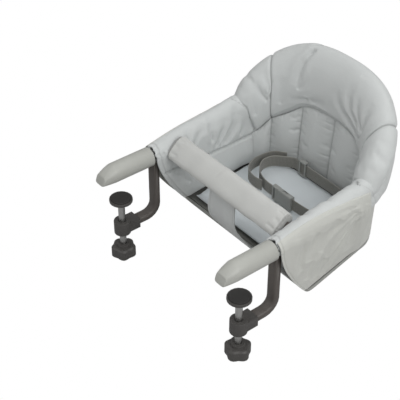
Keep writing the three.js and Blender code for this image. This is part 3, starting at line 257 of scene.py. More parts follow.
def only(piece):
    """Makes the piece the one selected and active object."""
    if bpy.context.object and bpy.context.object.mode != "OBJECT":
        bpy.ops.object.mode_set(mode="OBJECT")
    bpy.ops.object.select_all(action="DESELECT")
    piece.select_set(True)
    bpy.context.view_layer.objects.active = piece


def edit(piece, *steps):
    """Runs edit mode steps on the whole mesh."""
    only(piece)
    bpy.ops.object.mode_set(mode="EDIT")
    bpy.ops.mesh.select_all(action="SELECT")
    for step in steps:
        step()
    bpy.ops.object.mode_set(mode="OBJECT")


def weld(distance=0.00005):
    bpy.ops.mesh.remove_doubles(threshold=distance)


def face_out():
    bpy.ops.mesh.select_all(action="SELECT")
    bpy.ops.mesh.normals_make_consistent(inside=False)


def fill_ends():
    bpy.ops.mesh.select_all(action="SELECT")
    bpy.ops.mesh.fill_holes(sides=0)


def modify(piece, kind, **settings):
    """Adds one modifier with these settings and applies it."""
    only(piece)
    modifier = piece.modifiers.new(kind.lower(), kind)
    for key, value in settings.items():
        setattr(modifier, key, value)
    bpy.ops.object.modifier_apply(modifier=modifier.name)


def face_along(piece, way):
    """Turns the faces to one side, towards one direction or a direction for each point."""
    edit(piece, face_out)
    if np.sum(normals(piece) * np.array(way)) < 0:
        edit(piece, lambda: bpy.ops.mesh.flip_normals())


def thicken(piece, thickness, offset=-1.0):
    """Gives a sheet its thickness in millimetres."""
    modify(piece, "SOLIDIFY", thickness=thickness * MM, offset=offset, use_even_offset=False)
    edit(piece, face_out)


def grid_piece(name, columns, rows, place):
    """Grid primitive whose points go to place(u, v), in millimetres."""
    bpy.ops.object.select_all(action="DESELECT")
    bpy.ops.mesh.primitive_grid_add(x_subdivisions=columns, y_subdivisions=rows, size=2)
    piece = bpy.context.object
    piece.name = name
    piece.data.name = name
    flat = coords(piece)
    u = (flat[:, 0] + 1) / 2
    v = (flat[:, 1] + 1) / 2
    note(piece, "along", u)
    note(piece, "across", v)
    set_coords(piece, place(u, v) * MM)
    return piece


def line_distance(points, out, line):
    """Distance of points to a line in the surface, how far along it they lie, and on which side."""
    line = np.array(line, float)
    steps = np.linalg.norm(np.diff(line, axis=0), axis=1)
    reach = np.concatenate([[0], np.cumsum(steps)])
    best = np.full(len(points), 1e9)
    where = np.zeros(len(points))
    aside = np.zeros(len(points))
    for i, step in enumerate(steps):
        a, b = line[i], line[i + 1]
        t = clamp((points - a) @ (b - a) / step**2)
        gap = points - (a + t[:, None] * (b - a))
        gap -= out * np.clip(np.sum(gap * out, axis=1), -LINE_REACH, LINE_REACH)[:, None]
        d = np.linalg.norm(gap, axis=1)
        near = d < best
        best = np.where(near, d, best)
        where = np.where(near, reach[i] + t * step, where)
        aside = np.where(near, np.sum(gap * np.cross(b - a, out), axis=1) / step, aside)
    return best, where / reach[-1], aside


def crease(piece, line, depth, width, ridge=0.0):
    """Presses a crease that starts narrow at the line's first point and dies out broad at its last."""
    points = coords(piece) / MM
    out = normals(piece)
    d, along, aside = line_distance(points, out, line)
    spread = width * (0.55 + 0.9 * along)
    strength = smooth(along / 0.12) * (1 - along) ** 0.7
    pull = bell(d / spread)
    if ridge:
        sign = np.sign(ridge)
        near = bell(d / (4 * spread))
        pull = pull - abs(ridge) * bell((aside * sign - spread * 1.6) / (spread * 1.1)) * near
    push(piece, -(depth * pull * strength))


def press(piece, line, depth, width, shade=0.0, fade=True, gather=0.0):
    """Presses a soft groove along a line in millimetres, or raises it where depth is negative, and paints
    shade along it where shade is given.
    """
    points = coords(piece) / MM
    out = normals(piece)
    d, along, _ = line_distance(points, out, line)
    ends = np.sqrt(clamp(hump(along))) if fade else 1.0
    pull = bell(d / width) * ends
    if gather:
        reach = np.linalg.norm(np.diff(np.array(line, float), axis=0), axis=1).sum()
        pull = pull * (1 + gather * np.sin(along * reach * 0.62) * np.sin(along * reach * 0.17 + 1))
    push(piece, -(depth * pull))
    # painted shade along the groove, darkest on its line
    if shade:
        darken(piece, shade * bell(d / (width * 0.45)) * ends)


def hug(piece, other, weight, sink):
    """Draws the weighted points of a piece to the nearest face of another, sunk a little below it."""
    corners = [vertex.co for vertex in other.data.vertices]
    tree = BVHTree.FromPolygons(corners, [face.vertices for face in other.data.polygons])
    points = coords(piece)
    for i in np.flatnonzero(weight > 0.001):
        spot, normal, _, _ = tree.find_nearest(Vector(points[i]), HUG_REACH * MM)
        if spot is not None:
            points[i] = mix(points[i], np.array(spot - normal * sink * MM), weight[i])
    set_coords(piece, points)


def swell(piece, waves):
    """Adds soft irregular waves, each an amount, a direction, a wavelength and a phase in millimetres."""
    points = coords(piece) / MM
    rise = np.zeros(len(points))
    for amount, direction, wavelength, phase in waves:
        direction = np.array(direction, float)
        direction /= np.linalg.norm(direction)
        rise += amount * np.sin(points @ direction * 2 * np.pi / wavelength + phase)
    push(piece, rise)


# The chair's own curves


def rail_z(y):
    s = sizes()
    run = (y - s.arm_kink_y) / (s.arm_rear_y - s.arm_kink_y)
    return s.grip_axis + s.arm_rise * np.maximum(run, 0)


def front_edge_y(z):
    s = sizes()
    drop = clamp((20 - z) / (20 - s.base_z))
    return s.cover_front_y + (s.base_front_y - s.cover_front_y) * drop**1.6


def base_half(y):
    s = sizes()
    run = (y - s.base_front_y) / (s.corner_y - s.base_front_y)
    return mix(s.base_front_half, s.base_rear_half, run)


def base_lift(y):
    """How much higher the sloping base lies than at its front edge."""
    s = sizes()
    return s.base_rise * np.maximum(y - s.base_front_y, 0) / (s.base_rear_y - s.base_front_y)


def roll_radius(y):
    s = sizes()
    run = clamp((y - s.cover_front_y) / (s.cover_rear_y - s.cover_front_y))
    return mix(s.roll_front, s.roll_rear, run)


def crown_rise(share, sine):
    """How much higher the padding stands over the arm's tube, at a share of its length and round its roll."""
    grown = np.sin(np.pi / 2 * clamp(share / 0.45)) + 0.45 * smooth((share - 0.75) / 0.25)
    return sizes().roll_crown * grown * np.maximum(sine, 0)


# how square the rear corners and the hoop's shoulders are; 2 would be round
SQUARE, HOOP_SQUARE = 2.4, 2.57
# share of a wrapped sheet that lies along one side
SIDE = 0.14


def wrap(turn, start_x, start_y, corner_x, corner_y, rear_y):
    """Plan of the wrapped sheets: along one side, round the rear corner and across the back."""
    share = np.where(turn > 0.5, 1 - turn, turn)
    flip = np.where(turn > 0.5, -1.0, 1.0)
    along = clamp(share / SIDE)
    angle = clamp((share - SIDE) / (0.5 - SIDE)) * np.pi / 2
    power = 2 / SQUARE
    side = share < SIDE
    x = np.where(side, mix(start_x, corner_x, along), corner_x * clamp(np.cos(angle)) ** power)
    y = np.where(side, mix(start_y, corner_y, along), corner_y + (rear_y - corner_y) * np.sin(angle) ** power)
    return flip * x, y


def liner_plan(turn, inset, z):
    s = sizes()
    low = clamp((50 - z) / (50 + 94))
    taper = s.wall_taper * low
    return wrap(
        turn,
        s.wall_x - taper + inset,
        s.cover_rear_y,
        s.liner_corner - taper + inset,
        s.corner_y,
        mix(s.liner_rear_y, s.liner_foot_y, low) + inset,
    )


# the arch seam: height at each turn round the liner
ARCH = np.array([
    (0.12, -17), (0.16, -12), (0.21, -4), (0.273, 22), (0.333, 50), (0.376, 64), (0.42, 72),
    (0.46, 75), (0.5, 75), (0.54, 73), (0.56, 71), (0.592, 64), (0.624, 50), (0.667, 34), (0.727, 19),
    (0.79, -4), (0.84, -12), (0.88, -17),
]).T


def arch_z(turn):
    """Height of the seam where the back pad meets the liner."""
    fine = np.linspace(ARCH[0, 0], ARCH[0, -1], 240)
    heights = np.interp(fine, *ARCH)
    kernel = np.hanning(15)
    padded = np.pad(heights, 7, mode="edge")
    heights = np.convolve(padded, kernel / kernel.sum(), mode="valid")
    return np.interp(turn, fine, heights)


def arch_point(angle):
    """Point of the hoop's axis at an angle of its flattened arch."""
    s = sizes()
    run = np.array([s.hoop_top_y - s.hinge_y, s.hoop_top_z - s.hinge_z])
    reach = np.linalg.norm(run)
    up = run / reach
    drop = s.hoop_drop
    widest = s.arm_x / (1 - (drop / (reach + drop)) ** HOOP_SQUARE) ** (1 / HOOP_SQUARE)
    power = 2 / HOOP_SQUARE
    rise = (reach + drop) * clamp(np.sin(angle)) ** power - drop
    x = widest * clamp(np.cos(angle)) ** power
    return np.stack([x, s.hinge_y + up[0] * rise, s.hinge_z + up[1] * rise], axis=-1)


def arch_angle(rise):
    s = sizes()
    reach = math.hypot(s.hoop_top_y - s.hinge_y, s.hoop_top_z - s.hinge_z)
    drop = s.hoop_drop
    return math.asin(((rise + drop) / (reach + drop)) ** (HOOP_SQUARE / 2))


def spline(points, count):
    """Evenly spaced points on a smooth curve through these points."""
    points = np.array(points, float)
    ext = np.vstack([2 * points[0] - points[1], points, 2 * points[-1] - points[-2]])
    fine = []
    for i in range(1, len(ext) - 2):
        p0, p1, p2, p3 = ext[i - 1 : i + 3]
        t01 = max(np.linalg.norm(p1 - p0) ** 0.5, 1e-4)
        t12 = max(np.linalg.norm(p2 - p1) ** 0.5, 1e-4)
        t23 = max(np.linalg.norm(p3 - p2) ** 0.5, 1e-4)
        m1 = p2 - p1 + t12 * ((p1 - p0) / t01 - (p2 - p0) / (t01 + t12))
        m2 = p2 - p1 + t12 * ((p3 - p2) / t23 - (p3 - p1) / (t12 + t23))
        t = np.linspace(0, 1, 24, endpoint=False)[:, None]
        fine.append((2 * t**3 - 3 * t**2 + 1) * p1 + (t**3 - 2 * t**2 + t) * m1
                    + (-2 * t**3 + 3 * t**2) * p2 + (t**3 - t**2) * m2)
    fine = np.vstack(fine + [points[-1:]])
    reach = np.concatenate([[0], np.cumsum(np.linalg.norm(np.diff(fine, axis=0), axis=1))])
    stops = np.linspace(0, reach[-1], count)
    return np.stack([np.interp(stops, reach, fine[:, k]) for k in range(3)], axis=1)


def hoop_route():
    """Axis of the backrest's roll, from the top of the hoop down over the right hinge to the arm."""
    s = sizes()
    arch = arch_point(np.linspace(np.pi / 2, arch_angle(17), 40))
    x = s.arm_x
    tail = np.array([
        arch_point(np.array(arch_angle(0))),
        [x, 231, rail_z(231) + 14],
        [x, 211, rail_z(211) + 12],
        [x, 195, rail_z(195) + 10],
    ])
    return spline(np.vstack([arch, tail]), 160)


def along_route(route, share):
    stops = np.linspace(0, 1, len(route))
    return np.stack([np.interp(share, stops, route[:, k]) for k in range(3)], axis=-1)


# Materials


def feed(tree, node, inputs):
    """Sets inputs of a node to values, or links sockets to them."""
    for key, value in inputs.items():
        if isinstance(value, bpy.types.NodeSocket):
            tree.links.new(value, node.inputs[key])
        else:
            node.inputs[key].default_value = value


def add_node(tree, kind, inputs=None, **settings):
    """Adds one shader node of this kind. Inputs are values, or sockets to link."""
    made = tree.nodes.new("ShaderNode" + kind)
    for key, value in settings.items():
        setattr(made, key, value)
    feed(tree, made, inputs or {})
    return made


def new_material(name):
    made = bpy.data.materials.new(name)
    made.use_nodes = True
    tree = made.node_tree
    shader = tree.nodes["Principled BSDF"]
    return made, tree, shader


def rgba(value):
    return (*value, 1.0)


def tinted(tree, base, factor, low, high):
    """The base colour made darker at factor 0 and lighter at factor 1."""
    span = add_node(tree, "MapRange", {"Value": factor, "To Min": low, "To Max": high})
    scaled = {0: tuple(base), "Scale": span.outputs["Result"]}
    return add_node(tree, "VectorMath", scaled, operation="SCALE").outputs["Vector"]


def cloth_material(name, base, rough=0.72, sheen=0.25, weave=0.35, slubs=0.03, shade_level=0.45):
    """Woven polyester: fine threads both ways, soft mottling, painted shade along seams and tucks and a faint
    sheen.
    """
    made, tree, shader = new_material(name)
    place = add_node(tree, "TexCoord").outputs["Object"]
    pitch = sizes().weave_pitch * MM
    bands = {"Vector": place, "Scale": 0.314 / pitch, "Distortion": 0.6, "Detail": 1.0}
    warp = add_node(tree, "TexWave", bands, wave_type="BANDS", bands_direction="DIAGONAL")
    weft = add_node(tree, "TexWave", bands, wave_type="BANDS", bands_direction="Z")
    threads = add_node(tree, "Math", {0: warp.outputs["Fac"], 1: weft.outputs["Fac"]}, operation="ADD")
    cloud = add_node(tree, "TexNoise", {"Vector": place, "Scale": 26.0, "Detail": 3.0, "Roughness": 0.55})
    fleck = add_node(tree, "TexNoise", {"Vector": place, "Scale": 620.0, "Detail": 1.0})
    # the seam attribute mixes the colour towards a darker copy: painted shade along seams, grooves and tucks,
    # and darker stitch rows and cuffs
    seam = add_node(tree, "Attribute", attribute_name="seam").outputs["Fac"]
    both = add_node(tree, "Math", {0: cloud.outputs["Fac"], 1: fleck.outputs["Fac"]}, operation="ADD")
    level = add_node(tree, "Math", {0: both.outputs["Value"], 1: 0.5}, operation="MULTIPLY")
    tone = tinted(tree, base, level.outputs["Value"], 1 - slubs * 2, 1 + slubs * 2)
    seam_shaded = add_node(tree, "Mix", {"Factor": seam}, data_type="RGBA")
    feed(tree, seam_shaded, {"A": tone, "B": rgba(tuple(c * shade_level for c in base))})
    soft = add_node(tree, "TexNoise", {"Vector": place, "Scale": 55.0, "Detail": 2.0})
    crumple = add_node(tree, "Bump", {"Strength": 0.22, "Distance": 0.0016, "Height": soft.outputs["Fac"]})
    woven = {"Height": threads.outputs["Value"], "Normal": crumple.outputs["Normal"]}
    bump = add_node(tree, "Bump", {"Strength": weave, "Distance": pitch * 0.35, **woven})
    feed(tree, shader, {
        "Base Color": seam_shaded.outputs["Result"], "Normal": bump.outputs["Normal"], "Roughness": rough,
        "Sheen Weight": sheen, "Sheen Roughness": 0.45, "Specular IOR Level": 0.35,
    })
    return made


# distances between the ribs across the webbing and the rows along it, in millimetres
RIB_PITCH, ROW_PITCH = 2.7, 1.6


def webbing_material(name, base):
    """Flat polypropylene webbing: ribs across its length, a painted highlight along both edges and dull
    threads.
    """
    made, tree, shader = new_material(name)
    along = add_node(tree, "Attribute", attribute_name="along").outputs["Fac"]
    across = add_node(tree, "Attribute", attribute_name="across").outputs["Fac"]
    # drawn coarser than the real ribs, which are too fine to show
    ribs = add_node(tree, "Math", {0: along, 1: math.tau / RIB_PITCH}, operation="MULTIPLY")
    wave = add_node(tree, "Math", {0: ribs.outputs["Value"]}, operation="SINE")
    rows = add_node(tree, "Math", {0: across, 1: math.tau / ROW_PITCH}, operation="MULTIPLY")
    row = add_node(tree, "Math", {0: rows.outputs["Value"]}, operation="SINE")
    knots = {0: wave.outputs["Value"], 1: row.outputs["Value"]}
    height = add_node(tree, "Math", knots, operation="MULTIPLY")
    # paler band along both edges: painted highlight where the edges catch the light
    edge = add_node(tree, "Math", {0: across, 1: 0.5 * sizes().webbing_wide}, operation="DIVIDE")
    off = add_node(tree, "Math", {0: edge.outputs["Value"], 1: 1.0}, operation="SUBTRACT")
    away = add_node(tree, "Math", {0: off.outputs["Value"]}, operation="ABSOLUTE")
    outer = {"Value": away.outputs["Value"], "From Min": 0.78, "From Max": 0.95}
    rim = add_node(tree, "MapRange", outer)
    place = add_node(tree, "TexCoord").outputs["Object"]
    fleck = add_node(tree, "TexNoise", {"Vector": place, "Scale": 420.0, "Detail": 2.0})
    ribbed = {0: wave.outputs["Value"], 1: 0.42, 2: fleck.outputs["Fac"]}
    level = add_node(tree, "Math", ribbed, operation="MULTIPLY_ADD")
    tone = tinted(tree, base, level.outputs["Value"], 0.8, 1.2)
    edge_highlighted = add_node(tree, "Mix", {"Factor": rim.outputs["Result"]}, data_type="RGBA")
    feed(tree, edge_highlighted, {"A": tone, "B": rgba(tuple(min(c * 1.35, 1) for c in base))})
    relief = {"Strength": 0.6, "Distance": 0.4 * MM, "Height": height.outputs["Value"]}
    bump = add_node(tree, "Bump", relief)
    feed(tree, shader, {
        "Base Color": edge_highlighted.outputs["Result"], "Normal": bump.outputs["Normal"],
        "Roughness": 0.66, "Sheen Weight": 0.2,
    })
    return made


def plastic_material(name, base, rough=0.42, grain=0.25, scale=900.0, spec=0.5):
    """Moulded plastic: even colour with fine spark texture and slight handling wear in its gloss."""
    made, tree, shader = new_material(name)
    place = add_node(tree, "TexCoord").outputs["Object"]
    fine = add_node(tree, "TexNoise", {"Vector": place, "Scale": scale, "Detail": 2.0})
    broad = add_node(tree, "TexNoise", {"Vector": place, "Scale": 40.0, "Detail": 3.0})
    tone = tinted(tree, base, broad.outputs["Fac"], 0.96, 1.04)
    worn = {"Value": broad.outputs["Fac"], "To Min": rough - 0.06, "To Max": rough + 0.08}
    gloss = add_node(tree, "MapRange", worn)
    bump = add_node(tree, "Bump", {"Strength": grain, "Distance": 0.12 * MM, "Height": fine.outputs["Fac"]})
    feed(tree, shader, {
        "Base Color": tone, "Roughness": gloss.outputs["Result"], "Normal": bump.outputs["Normal"],
        "Specular IOR Level": spec,
    })
    return made


def metal_material(name, base, rough=0.32):
    """Bright drawn steel: fine lines along its length and uneven gloss."""
    made, tree, shader = new_material(name)
    place = add_node(tree, "TexCoord").outputs["Object"]
    stretch = add_node(tree, "Mapping", {"Vector": place, "Scale": (60.0, 900.0, 900.0)})
    drawn = {"Vector": stretch.outputs["Vector"], "Scale": 1.0, "Detail": 3.0}
    lines = add_node(tree, "TexNoise", drawn)
    tone = tinted(tree, base, lines.outputs["Fac"], 0.9, 1.06)
    uneven = {"Value": lines.outputs["Fac"], "To Min": rough - 0.08, "To Max": rough + 0.12}
    gloss = add_node(tree, "MapRange", uneven)
    feed(tree, shader, {"Base Color": tone, "Roughness": gloss.outputs["Result"], "Metallic": 1.0})
    return made


def paint_material(name, base):
    """Powder coat on steel: orange peel in the gloss, a little grain."""
    made, tree, shader = new_material(name)
    place = add_node(tree, "TexCoord").outputs["Object"]
    peel = add_node(tree, "TexNoise", {"Vector": place, "Scale": 700.0, "Detail": 2.0})
    dust = add_node(tree, "TexNoise", {"Vector": place, "Scale": 30.0, "Detail": 4.0})
    tone = tinted(tree, base, dust.outputs["Fac"], 0.9, 1.12)
    bump = add_node(tree, "Bump", {"Strength": 0.3, "Distance": 0.2 * MM, "Height": peel.outputs["Fac"]})
    feed(tree, shader, {"Base Color": tone, "Normal": bump.outputs["Normal"], "Roughness": 0.48})
    return made


def board_material(name, base):
    """Thin board covered in coarse dark cloth: threads both ways, dull, with paler lint."""
    made, tree, shader = new_material(name)
    place = add_node(tree, "TexCoord").outputs["Object"]
    threads = add_node(tree, "TexChecker", {"Vector": place, "Scale": 1 / (0.9 * MM)})
    fluff = {"Vector": place, "Scale": 90.0, "Detail": 5.0, "Roughness": 0.65}
    lint = add_node(tree, "TexNoise", fluff)
    tone = tinted(tree, base, lint.outputs["Fac"], 0.85, 1.15)
    relief = {"Strength": 0.3, "Distance": 0.3 * MM, "Height": threads.outputs["Fac"]}
    bump = add_node(tree, "Bump", relief)
    feed(tree, shader, {"Base Color": tone, "Normal": bump.outputs["Normal"], "Roughness": 0.85})
    return made


MADE = {}


def material(kind):
    """The material of this kind, made once."""
    if kind in MADE:
        return MADE[kind]
    c = bpy.context.scene.chair_colours
    makers = {
        "liner": lambda: cloth_material("padded_polyester_liner", c.liner, sheen=0.3),
        "shell": lambda: cloth_material("woven_polyester_shell", c.shell, rough=0.8, weave=0.6, slubs=0.05),
        "bar": lambda: cloth_material("padded_polyester_bar", c.bar, rough=0.62),
        "binding": lambda: cloth_material("woven_polyester_tape", c.binding, rough=0.75, weave=0.7),
        "seat": lambda: cloth_material("padded_polyester_seat", c.seat, rough=0.68),
        "webbing": lambda: webbing_material("ribbed_polypropylene_webbing", c.webbing),
        "grip": lambda: plastic_material("soft_grip_plastic", c.grip, rough=0.38),
        "buckle": lambda: plastic_material("moulded_acetal_buckle", c.buckle, rough=0.4),
        "dark": lambda: plastic_material("moulded_nylon_clamp", c.dark, rough=0.5),
        "paint": lambda: paint_material("powder_coated_steel", c.paint),
        "steel": lambda: metal_material("drawn_bright_steel", c.steel),
        "rubber": lambda: plastic_material("moulded_rubber_pad", c.rubber, 0.75, 0.5, scale=500.0, spec=0.3),
        "board": lambda: board_material("woven_polyester_board_cover", c.board),
    }
    MADE[kind] = makers[kind]()
    return MADE[kind]


def dress(piece, kind):
    """Gives the whole piece one material."""
    piece.data.materials.clear()
    piece.data.materials.append(material(kind))


def smooth_shade(piece, angle=None):
    only(piece)
    if angle is None:
        bpy.ops.object.shade_smooth()
    else:
        bpy.ops.object.shade_smooth_by_angle(angle=math.radians(angle))


def finish_cloth(piece, kind, nodes, body="frame"):
    """Shades a cloth piece, gives it its material and its place on the frame."""
    smooth_shade(piece)
    dress(piece, kind)
    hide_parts(*nodes)
    if body:
        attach(piece, body)


# Cloth pieces


def mirror_line(line, side):
    return [(x * side, y, z) for x, y, z in line]


# how far round the roll the outer cloth reaches, in degrees, by the distance along the arm
ROLL_EDGE = np.array([
    (12, 72), (48, 71), (73, 69), (100, 67), (128, 62), (155, 54), (181, 44), (198, 37),
], float).T
# how far back the arm cover reaches, by height
COVER_REAR = ([-97, 4, 20, 37, 50, 60, 67], [237, 236, 234, 228, 221, 211, 204])
# folds of the inner walls: points, depth, width, and how far the cloth stands up beside the fold
FAR_FOLDS = (
    ([(147, 140, 2), (150, 137, 30), (160, 142, 48), (176, 158, 58)], 5.0, 7, 0.4),
    ([(146, 158, -14), (147, 176, 4), (147, 190, 24), (155, 198, 46), (162, 202, 58)], 7.0, 6.5, 0.45),
    ([(146, 168, -14), (147, 186, 4), (146, 200, 24), (150, 208, 44)], 5.0, 6, -0.4),
    ([(146, 146, -12), (147, 160, 14), (151, 176, 42)], 4.4, 6, 0.4),
    ([(144, 205, -12), (141, 214, 8), (144, 218, 30), (150, 217, 46)], 4.4, 5.5, 0.4),
    ([(149, 80, 14), (153, 85, 38), (162, 93, 50), (172, 100, 50)], 4.0, 6.5, 0.4),
    ([(149, 86, 6), (150, 102, 26), (152, 116, 38), (160, 122, 48)], 4.6, 6.5, 0.4),
    ([(146, 72, -44), (148, 50, -25), (149, 46, -5)], 3.4, 7, 0.3),
    ([(146, 87, -64), (147, 63, -40), (148, 47, -42)], 3.4, 7, 0.3),
    ([(153, 27, 29), (149, 32, 8), (149, 34, -10)], 2.6, 6, 0.3),
)
NEAR_FOLDS = (
    ([(150, 88, 36), (162, 91, 44), (175, 86, 46)], 2.0, 5.5, 0.4),
    ([(150, 78, 34), (162, 71, 42), (172, 57, 43)], 2.2, 5.5, 0.4),
    ([(160, 138, 50), (171, 141, 53), (178, 127, 50)], 1.8, 6, 0.4),
    ([(150, 178, 48), (163, 182, 57), (177, 190, 57)], 1.8, 6, 0.4),
    ([(151, 40, 30), (163, 44, 39), (176, 40, 38)], 1.5, 5.5, 0.3),
)


# seam between the arm cover and the back, from the top of the roll down the wall
SLEEVE_SEAM = [
    (168, 203, 66), (160, 211, 60), (147, 221, 50), (143, 228, 37), (140, 234, 20),
    (138, 236, 4), (137.5, 236.5, -12), (137, 236.5, -42), (137, 237, -75),
]
# seam along the inner wall, which parts its upper pillow from its lower one
CROSS_SEAM_Z = -19.0
CROSS_SEAM = [
    (145, 30, CROSS_SEAM_Z), (145, 100, -20), (145, 170, -20), (145.5, 191, -20),
    (141, 215, -18), (138, 236, -15),
]
SEAM_WIDE = 1.9


def arm_cover(side):
    """Padded cover of one arm: a roll over the tube and the inner wall below it."""
    s = sizes()
    # share of the cloth that goes round the roll; the rest hangs as the inner wall
    arc = 0.42

    def place(u, v):
        radius = mix(s.roll_front, s.roll_rear, u)
        roll_y = mix(s.cover_front_y, s.cover_rear_y, u)
        axis = rail_z(roll_y)
        phi = np.radians(-25 + 205 * clamp(v / arc))
        down = clamp((v - arc) / (1 - arc))
        foot = s.wall_foot_z
        wall_z = mix(axis, foot, down)
        taper = s.wall_taper * u * clamp((axis - wall_z) / (axis - foot))
        hang = (1 - down) ** 2.6
        wall_x = mix(s.wall_x, s.arm_x - radius, hang) - taper
        on_arc = v < arc
        # the cover lies slimmer where the outer cloth wraps over it
        radius = radius - 3.6 * smooth((np.interp(roll_y, *ROLL_EDGE) - 6 - np.degrees(phi)) / 12)
        loose = bell(u / 0.05) * (0.7 * np.sin(phi * 5 + 1) + 0.5 * np.sin(phi * 11))
        x = np.where(on_arc, s.arm_x + (radius + loose) * np.cos(phi), wall_x)
        z = np.where(on_arc, axis + (radius + loose) * np.sin(phi) + crown_rise(u, np.sin(phi)), wall_z)
        rear = np.interp(z, *COVER_REAR)
        ragged = np.where(on_arc, 1.3 * np.sin(phi * 4 + 0.6) + 0.8 * np.sin(phi * 9), 0.0)
        y = mix(front_edge_y(z) + ragged, rear, u)
        inside = np.where(on_arc, clamp(-np.cos(phi)), 1)
        x = x - inside * 0.006 * np.clip(y - 205, 0, 60) ** 2
        return np.stack([side * x, y, z + base_lift(y) * down], axis=1)

    piece = grid_piece("arm_cover_" + hand(side), 150, 150, place)
    u, v = noted(piece, "along"), noted(piece, "across")
    face_along(piece, np.outer(side * np.sign(0.5 - v), [1, 0, 0]))
    # the padding swells between the front hem, the shoulder seam and the wall's cross seam
    _, y, z = (coords(piece) / MM).T
    height = z - CROSS_SEAM_Z
    upper = hump(clamp(height / 60)) ** 0.45
    lower = hump(clamp(-height / 74)) ** 0.55
    ends = smooth(u / 0.05) * smooth((1 - u) / 0.06)
    wall = smooth((v - arc * 0.85) / 0.06)
    puff = (wall * (2.4 * upper + 3.4 * lower) + 0.5) * ends
    # pleats gathered into the cross seam
    near = np.exp(-np.abs(height) / 10) * wall * (1 - bell(height / 2.2))
    pleat = np.sin(y * 0.52 + 1.6 * np.sin(y * 0.13)) * np.where(height > 0, 0.8, 0.5)
    push(piece, puff + near * pleat)
    folds = FAR_FOLDS if side < 0 else (*FAR_FOLDS, *NEAR_FOLDS)
    for line, depth, width, ridge in folds:
        crease(piece, mirror_line(line, side), depth, width, ridge * side)
    press(piece, mirror_line(CROSS_SEAM, side), 3.4, 3.2, shade=0.4, fade=False, gather=0.2)
    # hem at the open front end, one row of stitches in from the edge
    stitch = bell((u - 0.04) / 0.007)
    push(piece, -0.8 * stitch)
    # the stitch row is drawn darker, and the rear edge gets painted shade where it meets the back pad
    darken(piece, np.maximum(0.4 * stitch, 0.5 * smooth((u - 0.992) / 0.008)))
    press(piece, mirror_line(SLEEVE_SEAM, side), 0.0, SEAM_WIDE, shade=0.5, fade=False)
    # the rear end lies on the back pad, down to the cross seam
    z = coords(piece)[:, 2] / MM
    hug(piece, bpy.data.objects["back_pad"], smooth((u - 0.86) / 0.13) * smooth((z + 16) / 8), -0.4)
    thicken(piece, 4.0)
    finish_cloth(piece, "liner", ["side_cover_" + hand(side)])


# shares of the back pad's cross section: its front ends, its roll ends, and its rear face ends
FRONT_END, ROLL_END, REAR_END = 0.36, 0.64, 0.97
# folds of the back, in the order of the photograph from its left to its right
BACK_FOLDS = (
    ([(-66, 316, 184), (-72, 312, 170), (-80, 308, 148), (-86, 302, 124), (-88, 294, 104)], 8.0, 7, 0.35),
    ([(-70, 312, 158), (-76, 304, 134), (-78, 299, 114), (-79, 295, 98)], 3.0, 6, -0.4),
    ([(-78, 296, 98), (-66, 300, 112), (-58, 306, 134)], 2.2, 6, 0.4),
    ([(-50, 299, 90), (-66, 297, 84), (-82, 293, 78), (-94, 290, 78)], 2.4, 6, 0.4),
    ([(-50, 299, 88), (-30, 302, 92), (-8, 303, 96), (10, 304, 104)], 2.4, 8, 0.4),
    (
        [(98, 286, 80), (84, 290, 84), (60, 298, 94), (40, 303, 103), (22, 309, 118), (12, 314, 136)],
        5.6, 7, 0.4,
    ),
    ([(104, 286, 84), (82, 296, 100), (58, 304, 114), (47, 311, 136), (45, 316, 166)], 5.6, 7, 0.4),
    ([(106, 286, 88), (92, 294, 104), (76, 304, 126), (64, 312, 148)], 4.0, 7, 0.3),
    ([(107, 285, 92), (107, 292, 110), (105, 299, 132), (107, 302, 156)], 5.0, 8, 0.4),
    ([(50, 318, 178), (66, 322, 182), (82, 323, 180)], 1.8, 6, 0.4),
    ([(-112, 278, 56), (-110, 283, 85), (-116, 287, 112)], 2.4, 9, 0.0),
    ([(-130, 262, 60), (-138, 256, 72), (-146, 251, 84), (-156, 247, 96)], 4.4, 7, 0.4),
    ([(-129, 266, 70), (-134, 267, 92), (-142, 266, 108), (-150, 262, 118)], 3.4, 6.5, -0.4),
    ([(-140, 240, 30), (-147, 238, 50), (-157, 236, 70)], 2.4, 6.5, 0.3),
    ([(-152, 247, 94), (-164, 244, 96), (-176, 240, 92)], 1.8, 6, 0.4),
    ([(134, 259, 41), (142, 249, 72), (154, 246, 90)], 3.0, 8, 0.3),
    ([(150, 268, 120), (165, 268, 108), (180, 262, 96)], 1.8, 7, 0.3),
    ([(158, 252, 104), (172, 250, 100), (188, 248, 88)], 1.8, 7, 0.3),
    ([(120, 320, 160), (132, 314, 152), (140, 300, 140)], 2.0, 8, 0.3),
)


